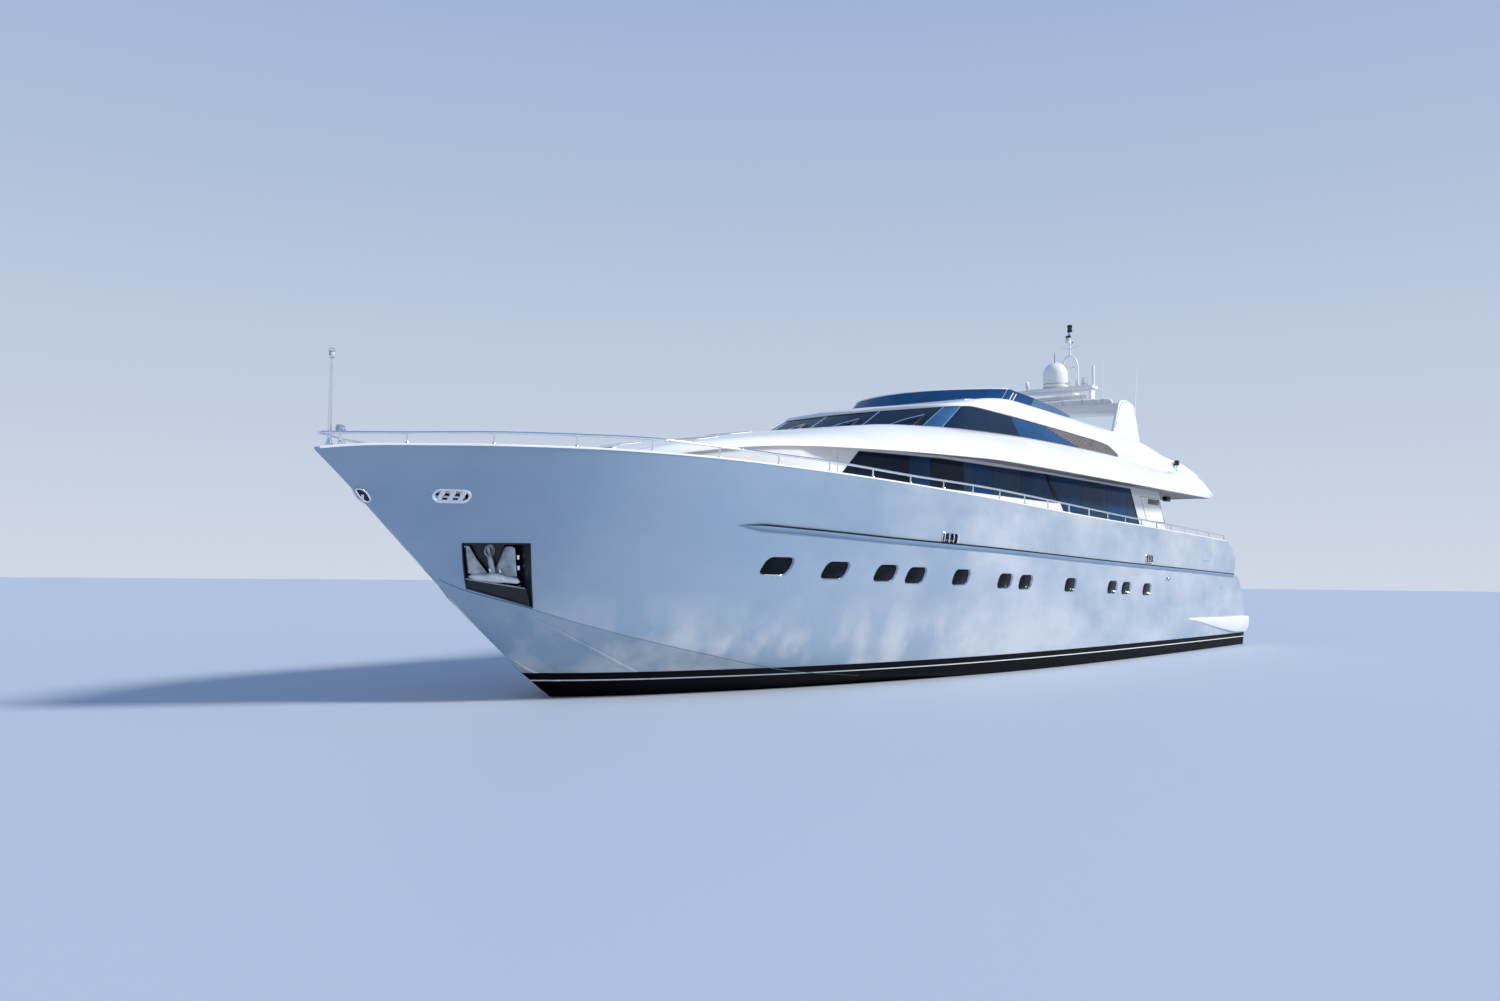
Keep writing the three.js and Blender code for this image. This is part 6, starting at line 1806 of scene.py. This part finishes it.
bronze = worn(node_finish("manganese bronze", "bronze", (0.62, 0.42, 0.18), 0.28, 1.0), 14, 0.14, 260, 0.0003)
prop_s, prop_y, prop_z, shaft_slope = 28.40, 1.25, -1.40, math.atan(0.14)
shaft_ahead = Vector((math.cos(shaft_slope), 0, math.sin(shaft_slope)))
shaft_up = Vector((-math.sin(shaft_slope), 0, math.cos(shaft_slope)))
shaft_side = Vector((0, 1, 0))
prop_middle = Vector((at(prop_s), prop_y, prop_z))
blade_table = [  # radius, half chord, pitch angle, half thickness
    (0.055, 0.092, 62, 0.017), (0.12, 0.120, 50, 0.015), (0.20, 0.148, 40, 0.011), (0.28, 0.160, 32, 0.009),
    (0.36, 0.152, 27, 0.007), (0.42, 0.118, 23.5, 0.005), (0.455, 0.066, 22, 0.004),
    (0.469, 0.022, 21, 0.002),
]


def propeller(side, hand):
    hub = [(-0.115, 0.070), (-0.10, 0.080), (-0.05, 0.085), (0.03, 0.084), (0.09, 0.078), (0.110, 0.070)]
    middle = Vector((prop_middle.x, prop_middle.y * side, prop_middle.z))
    parts = [loft([[middle - shaft_ahead * x + (shaft_side * math.cos(a) + shaft_up * math.sin(a)) * r
        for a in circle(32)] for x, r in hub], bronze)]
    for k in range(4):
        turn = math.pi / 2 * k + 0.4
        out = shaft_side * math.cos(turn) + shaft_up * math.sin(turn)
        across = shaft_ahead.cross(out) * hand
        rings = []
        for radius, half, pitch, thick in blade_table:
            angle = math.radians(pitch)
            chord = across * math.cos(angle) + shaft_ahead * math.sin(angle)
            normal = shaft_ahead * math.cos(angle) - across * math.sin(angle)
            skew = across * (0.10 * (radius / 0.47)**2)
            ring = []
            for t, face in ((-1, 0), (-0.7, 0.6), (-0.2, 1), (0.3, 0.9), (0.75, 0.5), (1, 0), (0.75, -0.35),
                    (0.3, -0.5), (-0.2, -0.5), (-0.7, -0.4)):
                ring.append(middle + out * radius + skew + chord * half * t + normal * thick * face)
            rings.append(ring)
        parts.append(loft(rings, bronze))
    return parts


for name, side in (("port", 1), ("starboard", -1)):
    screw = make("bronze_screw_" + name, propeller(side, side), "prop_" + name, crease=40)
    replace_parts(screw, "propeller_" + name)

# Underwater gear and engines: the shafts with their brackets, the rudders and the engines keep their built
# shape; edges are softened and each has its own finish, and the engines get their covers and pipes.


def finished(node, material, width=0.0, segments=2):
    """A built solid with its finish, its edges softened by a bevel."""
    piece = bpy.data.objects[node]
    piece.data.materials.clear()
    piece.data.materials.append(material)
    if width:
        soften = piece.modifiers.new("soft edges", "BEVEL")
        soften.width = width
        soften.segments = segments
        soften.limit_method = "ANGLE"
        soften.angle_limit = math.radians(35)
        soften.harden_normals = False


shaft_steel = worn(node_finish("shaft steel", "polished_steel", (0.55, 0.56, 0.57), 0.25, 1.0), 8, 0.08,
    200, 0.0002)
antifouling = worn(node_finish("black antifouling", "dark_strake", (0.012, 0.014, 0.020), 0.55), 3, 0.25,
    80, 0.0008)
engine_paint = worn(node_finish("engine enamel", "engine_grey", (0.40, 0.42, 0.43), 0.35), 3, 0.10, 220,
    0.0006)
for name in ("port", "starboard"):
    finished("shaft_" + name, shaft_steel, 0.003)
    finished("rudder_" + name, antifouling, 0.006, 3)
    finished("engine_" + name, engine_paint, 0.030, 3)

parts = []
for k in range(6):
    s = 21.95 + k * 0.42
    for y in (0.86, 1.51):
        parts.append(loft([[(at(s + a * f), y + b * f, z) for a, b in rounded(0.34, 0.30, 0.05, 0, 3)]
            for z, f in ((0.80, 1.0), (0.865, 1.0), (0.885, 0.9))], engine_paint))
        parts.append(turned([(0.022, 0.88), (0.022, 0.905), (0.012, 0.91)], s, y, chrome, 8))
for y in (1.12, 1.25):
    parts.append(tube([(21.75, y, 0.78), (21.80, y, 0.90), (22.0, y, 0.94), (24.1, y, 0.94),
        (24.25, y, 0.86), (24.3, y, 0.70)], 0.055, galvanised, 14))
for y in (0.505, 1.865):
    for z in (-0.32, 0.18):
        parts.append(tube([(21.9, y, z), (24.1, y, z)], 0.030, black, 10))
make("engine_fittings", both(parts), crease=40)

# Rudder anodes: an oval zinc bolted to each face of each blade.

parts = []
for y in (1.212, 1.288):
    parts.append(loft([[(at(29.40 + math.cos(a) * 0.045 * f), y + d, -1.25 + math.sin(a) * 0.09 * f)
        for a in circle(16)] for d, f in ((0.0, 1.0), (math.copysign(0.012, y - 1.25), 0.9))], galvanised))
pair("rudder_zincs", parts, body="helm_blade")

# Walls, frames and lids: the wheelhouse's frame behind the glass is black so that only the panes show. The
# other built solids are gelcoat or hull paint with rounded edges. The garage door has its seals and grips,
# and the chain locker's lid its hinges and handle.

finished("wheelhouse_frame", sealant, 0.004)
for name in ("port", "starboard"):
    finished("house_wall_" + name, white, 0.006)
finished("saloon_bulkhead", white, 0.012, 3)
finished("transom_coaming", white, 0.030, 4)
finished("garage_door", silver_hull, 0.012, 3)
finished("hatch_lid", white, 0.012, 3)

parts = []
seal_line = [(28.56, 2.545), (29.86, 0.985)]
for s0, z0 in seal_line:
    parts.append(rod([(at(s0) - 0.022, -1.38, z0 + 0.012), (at(s0) - 0.022, 1.38, z0 + 0.012)], 0.008,
        sealant, 6))
for y in (-0.42, 0.42):
    parts.append(rod([(at(28.98) - 0.045, y, 2.02), (at(28.98) - 0.075, y, 2.04),
        (at(29.10) - 0.075, y, 1.90), (at(29.10) - 0.045, y, 1.88)], 0.010, chrome, 8))
make("garage_door_trim", parts, "tender_door")
parts = [tube([(3.78, y, 3.09), (3.78, y, 3.118), (3.70, y, 3.122), (3.66, y, 3.10)], 0.008, chrome, 8)
    for y in (-0.16, 0.16)]
parts.append(tube([(3.22, -0.24, 3.094), (3.22, 0.24, 3.094)], 0.012, chrome, 10))
make("hatch_lid_fittings", parts, "foredeck_hatch")

# Stern rails: polished tubes on the stern coaming and beside each flight of stern steps.

parts = []
for y in (0.55, 1.55):
    parts.append(tube([(28.31, y, 3.06), (28.31, y, 3.30)], 0.016, chrome, 10))
parts.append(tube([(28.31, 0.0, 3.32), (28.31, 1.50, 3.32), (28.31, 1.56, 3.30)], 0.020, chrome, 12))
parts.append(tube([(28.36, 1.64, 3.20), (28.42, 1.66, 3.22), (29.10, 1.66, 2.50), (29.90, 1.66, 1.60),
    (29.94, 1.66, 1.40)], 0.018, chrome, 12))
for s, z0, z1 in ((28.60, 2.42, 3.02), (29.30, 1.60, 2.28)):
    parts.append(tube([(s, 1.66, z0), (s, 1.66, z1)], 0.013, chrome, 10))
make("stern_rails", both(parts))

# After fittings: a black lamp on a bracket at each quarter of the flybridge, a black loudspeaker under each
# side of the overhang, and two fender knobs on each edge of the swim platform.


def small_case(s, y, length, width, levels):
    """A black case with rounded corners, from (z, scale) levels."""
    outline = rounded(length, width, 0.03, 0, 4)
    return loft([[(at(s + a * f), y + b * f, z) for a, b in outline] for z, f in levels], black)


parts = [
    tube([(25.25, 2.80, 4.95), (25.25, 2.83, 5.08), (25.25, 2.83, 5.20)], [0.024, 0.016, 0.016], chrome, 12),
    small_case(25.25, 2.83, 0.13, 0.12, ((5.19, 0.85), (5.20, 1), (5.32, 1), (5.335, 0.85))),
    small_case(26.95, 1.95, 0.36, 0.14, ((4.30, 0.85), (4.315, 1), (4.46, 1))),
]
for z in (0.64, 0.47):
    parts.append(tube([(30.84, 3.05, z), (30.84, 3.095, z), (30.84, 3.10, z)], [0.035, 0.035, 0.025], black,
        16))
make("after_fittings", both(parts))

# Cushions: cloth over foam, inflated against its own weave by a cloth simulation, laid on white moulded
# bases. A piped seam runs round each; the fabric is a pale weave with a slight sheen.


def weave(name, colour):
    material = node_finish(name, "cushion", colour, 0.82, sheen_weight=0.4, sheen_roughness=0.4)
    wires = Wiring(material)
    split = wires.add("ShaderNodeSeparateXYZ", {0: wires.place})
    threads = None
    for axis in ("X", "Y"):
        wave = wires.math("SINE", wires.math("MULTIPLY", split.outputs[axis], 1900))
        threads = wave if threads is None else wires.math("MULTIPLY", threads, wave)
    soil = wires.noise(2.4, 4)
    wires.feed("Base Color", wires.mix(wires.between(soil, 0.35, 0.68, 0, 1),
        tuple(c * 0.90 for c in colour), colour))
    wires.bump(wires.math("ADD", wires.math("MULTIPLY", threads, 0.5), wires.noise(160, 2)), 0.0012, 0.5)
    return material


cream_cloth = weave("cream cushion cloth", (0.70, 0.67, 0.60))
piping_grey = weave("grey piping", (0.22, 0.24, 0.27))
cushion_swell, cushion_grid = 0.024, 0.035
cloth_frames = 20


def cushion_block(s0, s1, y0, y1, z0, z1):
    """A closed box with a fine grid on every face and rounded corners, ready to be inflated."""
    shape = bmesh.new()
    bmesh.ops.create_cube(shape, size=1)
    size = Vector((s1 - s0, y1 - y0, z1 - z0))
    middle = Vector((at((s0 + s1) / 2), (y0 + y1) / 2, (z0 + z1) / 2))
    for v in shape.verts:
        v.co = Vector(v.co[i] * size[i] for i in range(3))
    bmesh.ops.bevel(shape, geom=shape.edges[:], offset=min(0.035, size.z * 0.3), segments=3, profile=0.5,
        affect="EDGES")
    for v in shape.verts:
        v.co += middle
    mesh = bpy.data.meshes.new("cushion blank")
    shape.to_mesh(mesh)
    shape.free()
    piece = bpy.data.objects.new("cushion blank", mesh)
    bpy.context.scene.collection.objects.link(piece)
    remesh = piece.modifiers.new("even grid", "REMESH")
    remesh.mode = "VOXEL"
    remesh.voxel_size = cushion_grid
    return piece


def baked(piece):
    """The piece's evaluated mesh; the piece itself goes."""
    mesh = bpy.data.meshes.new_from_object(piece.evaluated_get(bpy.context.evaluated_depsgraph_get()))
    bpy.data.objects.remove(piece)
    return mesh


def inflated(mesh):
    """The mesh blown up as cloth, no point moved further than the swell."""
    piece = bpy.data.objects.new("cushion", mesh)
    bpy.context.scene.collection.objects.link(piece)
    cloth = piece.modifiers.new("cloth", "CLOTH")
    cloth.settings.quality = 4
    cloth.settings.mass = 0.3
    cloth.settings.tension_stiffness = 12
    cloth.settings.compression_stiffness = 6
    cloth.settings.bending_stiffness = 0.4
    cloth.settings.use_pressure = True
    cloth.settings.uniform_pressure_force = 4
    cloth.settings.effector_weights.gravity = 0
    for frame_number in range(1, cloth_frames + 1):
        bpy.context.scene.frame_set(frame_number)
    before = [v.co.copy() for v in mesh.vertices]
    result = baked(piece)
    for vertex, start in zip(result.vertices, before):
        move = vertex.co - start
        if move.length > cushion_swell:
            vertex.co = start + move.normalized() * cushion_swell
    bpy.context.scene.frame_set(1)
    smoother = bpy.data.objects.new("cushion", result)
    bpy.context.scene.collection.objects.link(smoother)
    smoother.modifiers.new("one subdivision", "SUBSURF").levels = 1
    return baked(smoother)


def part_of(mesh, material):
    return [v.co.copy() for v in mesh.vertices], [list(f.vertices) for f in mesh.polygons], material


def cushion(s0, s1, y0, y1, z0, z1):
    """One cushion within its given room, with piping round its upper and lower edges."""
    room = 0.016
    blank = cushion_block(s0 + room, s1 - room, y0 + room, y1 - room, z0 + room * 0.5, z1 - room)
    parts = [part_of(inflated(baked(blank)), cream_cloth)]
    for z in (z0 + 0.028, z1 - 0.036):
        edge = [(at((s0 + s1) / 2 + a), (y0 + y1) / 2 + b, z)
            for a, b in rounded(s1 - s0 - 0.020, y1 - y0 - 0.020, 0.040, 0, 4)]
        parts.append(rod(edge + edge[:1], 0.005, piping_grey, 6))
    return parts


def plinth(s0, s1, y0, y1, z0, z1):
    """A moulded base with a rounded edge, a recessed foot and a slight draw."""
    outline = rounded(s1 - s0, y1 - y0, 0.05, 0, 4)
    centre = ((s0 + s1) / 2, (y0 + y1) / 2)
    rings = []
    for z, inset in ((z0, 0.035), (z0 + 0.07, 0.035), (z0 + 0.085, 0.004), (z1 - 0.02, 0.0),
            (z1 - 0.004, 0.004), (z1, 0.02)):
        fx, fy = 1 - 2 * inset / (s1 - s0), 1 - 2 * inset / (y1 - y0)
        rings.append([(at(centre[0] + a * fx), centre[1] + b * fy, z) for a, b in outline])
    return loft(rings, white)


seat_foot = 4.952
parts = [plinth(16.70, 17.10, -1.10, 0.0, seat_foot, 5.292)]
for y0, y1 in ((-1.15, -0.555), (-0.545, 0.05)):
    parts += cushion(16.55, 17.12, y0, y1, 5.29, 5.45)
    parts += cushion(17.10, 17.25, y0, y1, 5.43, 5.95)
helm = make("helm_bench", parts, crease=50)
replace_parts(helm, "helm_seat")

parts = [plinth(17.20, 20.20, -1.88, -1.0, seat_foot, 5.24),
    plinth(17.20, 20.20, 1.0, 1.88, seat_foot, 5.24), plinth(19.50, 20.20, -1.02, 1.02, seat_foot, 5.24)]
for side in (1, -1):
    for s0, s1 in ((17.20, 18.31), (18.32, 19.42)):
        y0, y1 = sorted((side * 1.0, side * 1.76))
        parts += cushion(s0, s1, y0, y1, 5.24, 5.395)
    y0, y1 = sorted((side * 1.0, side * 1.86))
    parts += cushion(19.43, 20.19, y0, y1, 5.24, 5.395)
parts += cushion(19.50, 20.19, -0.99, -0.005, 5.24, 5.395) + cushion(19.50, 20.19, 0.005, 0.99, 5.24, 5.395)
settee = make("flybridge_lounge", parts, crease=50)
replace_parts(settee, "flybridge_settee")

parts = [plinth(24.30, 26.30, -1.50, 1.50, 4.95, 5.18)]
thirds = ((-1.50, -0.505), (-0.495, 0.495), (0.505, 1.50))
for y0, y1 in thirds:
    parts += cushion(24.30, 26.30, y0, y1, 5.175, 5.325)
sunpad = make("sunbathing_pad", parts, crease=50)
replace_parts(sunpad, "flybridge_sunpad")

parts = [plinth(27.35, 28.11, -1.50, 1.50, 2.41, 2.70)]
for y0, y1 in thirds:
    parts += cushion(27.35, 27.97, y0, y1, 2.695, 2.85)
    parts += cushion(27.95, 28.11, y0, y1, 2.72, 3.06)
aft_bench = make("aft_bench", parts, crease=50)
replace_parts(aft_bench, "aft_settee")

# Tables: teak tops with a rounded edge and a dark groove, each on a polished column with a flange.


def table(name, node, s0, s1, y0, y1, under, top, post_s, post_y, foot, corner):
    outline = rounded(s1 - s0, y1 - y0, corner, 0, 8)
    centre = ((s0 + s1) / 2, (y0 + y1) / 2)
    rings = []
    for z, inset in ((under, 0.020), (under + 0.010, 0.004), ((under + top) / 2, 0.0), (top - 0.008, 0.003),
            (top, 0.014)):
        fx, fy = 1 - 2 * inset / (s1 - s0), 1 - 2 * inset / (y1 - y0)
        rings.append([(at(centre[0] + a * fx), centre[1] + b * fy, z) for a, b in outline])
    groove = [(at(centre[0] + a * 0.90), centre[1] + b * 0.90, top + 0.0005) for a, b in outline]
    parts = [loft(rings, teak), rod(groove + groove[:1], 0.004, sealant, 6),
        turned([(0.16, foot), (0.16, foot + 0.015), (0.10, foot + 0.03), (0.062, foot + 0.06),
        (0.055, foot + 0.2), (0.055, under - 0.05), (0.11, under - 0.02), (0.13, under)], post_s, post_y,
        chrome, 28)]
    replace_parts(make(name, parts, crease=40), node)


table("flybridge_teak_table", "flybridge_table", 17.70, 19.00, -0.30, 0.70, 5.56, 5.61, 18.35, 0.20, 4.952,
    0.12)
table("aft_deck_teak_table", "aft_table", 25.90, 26.90, -0.90, 0.90, 3.09, 3.14, 26.40, 0.0,
    deck_z(26.4) + 0.006, 0.12)
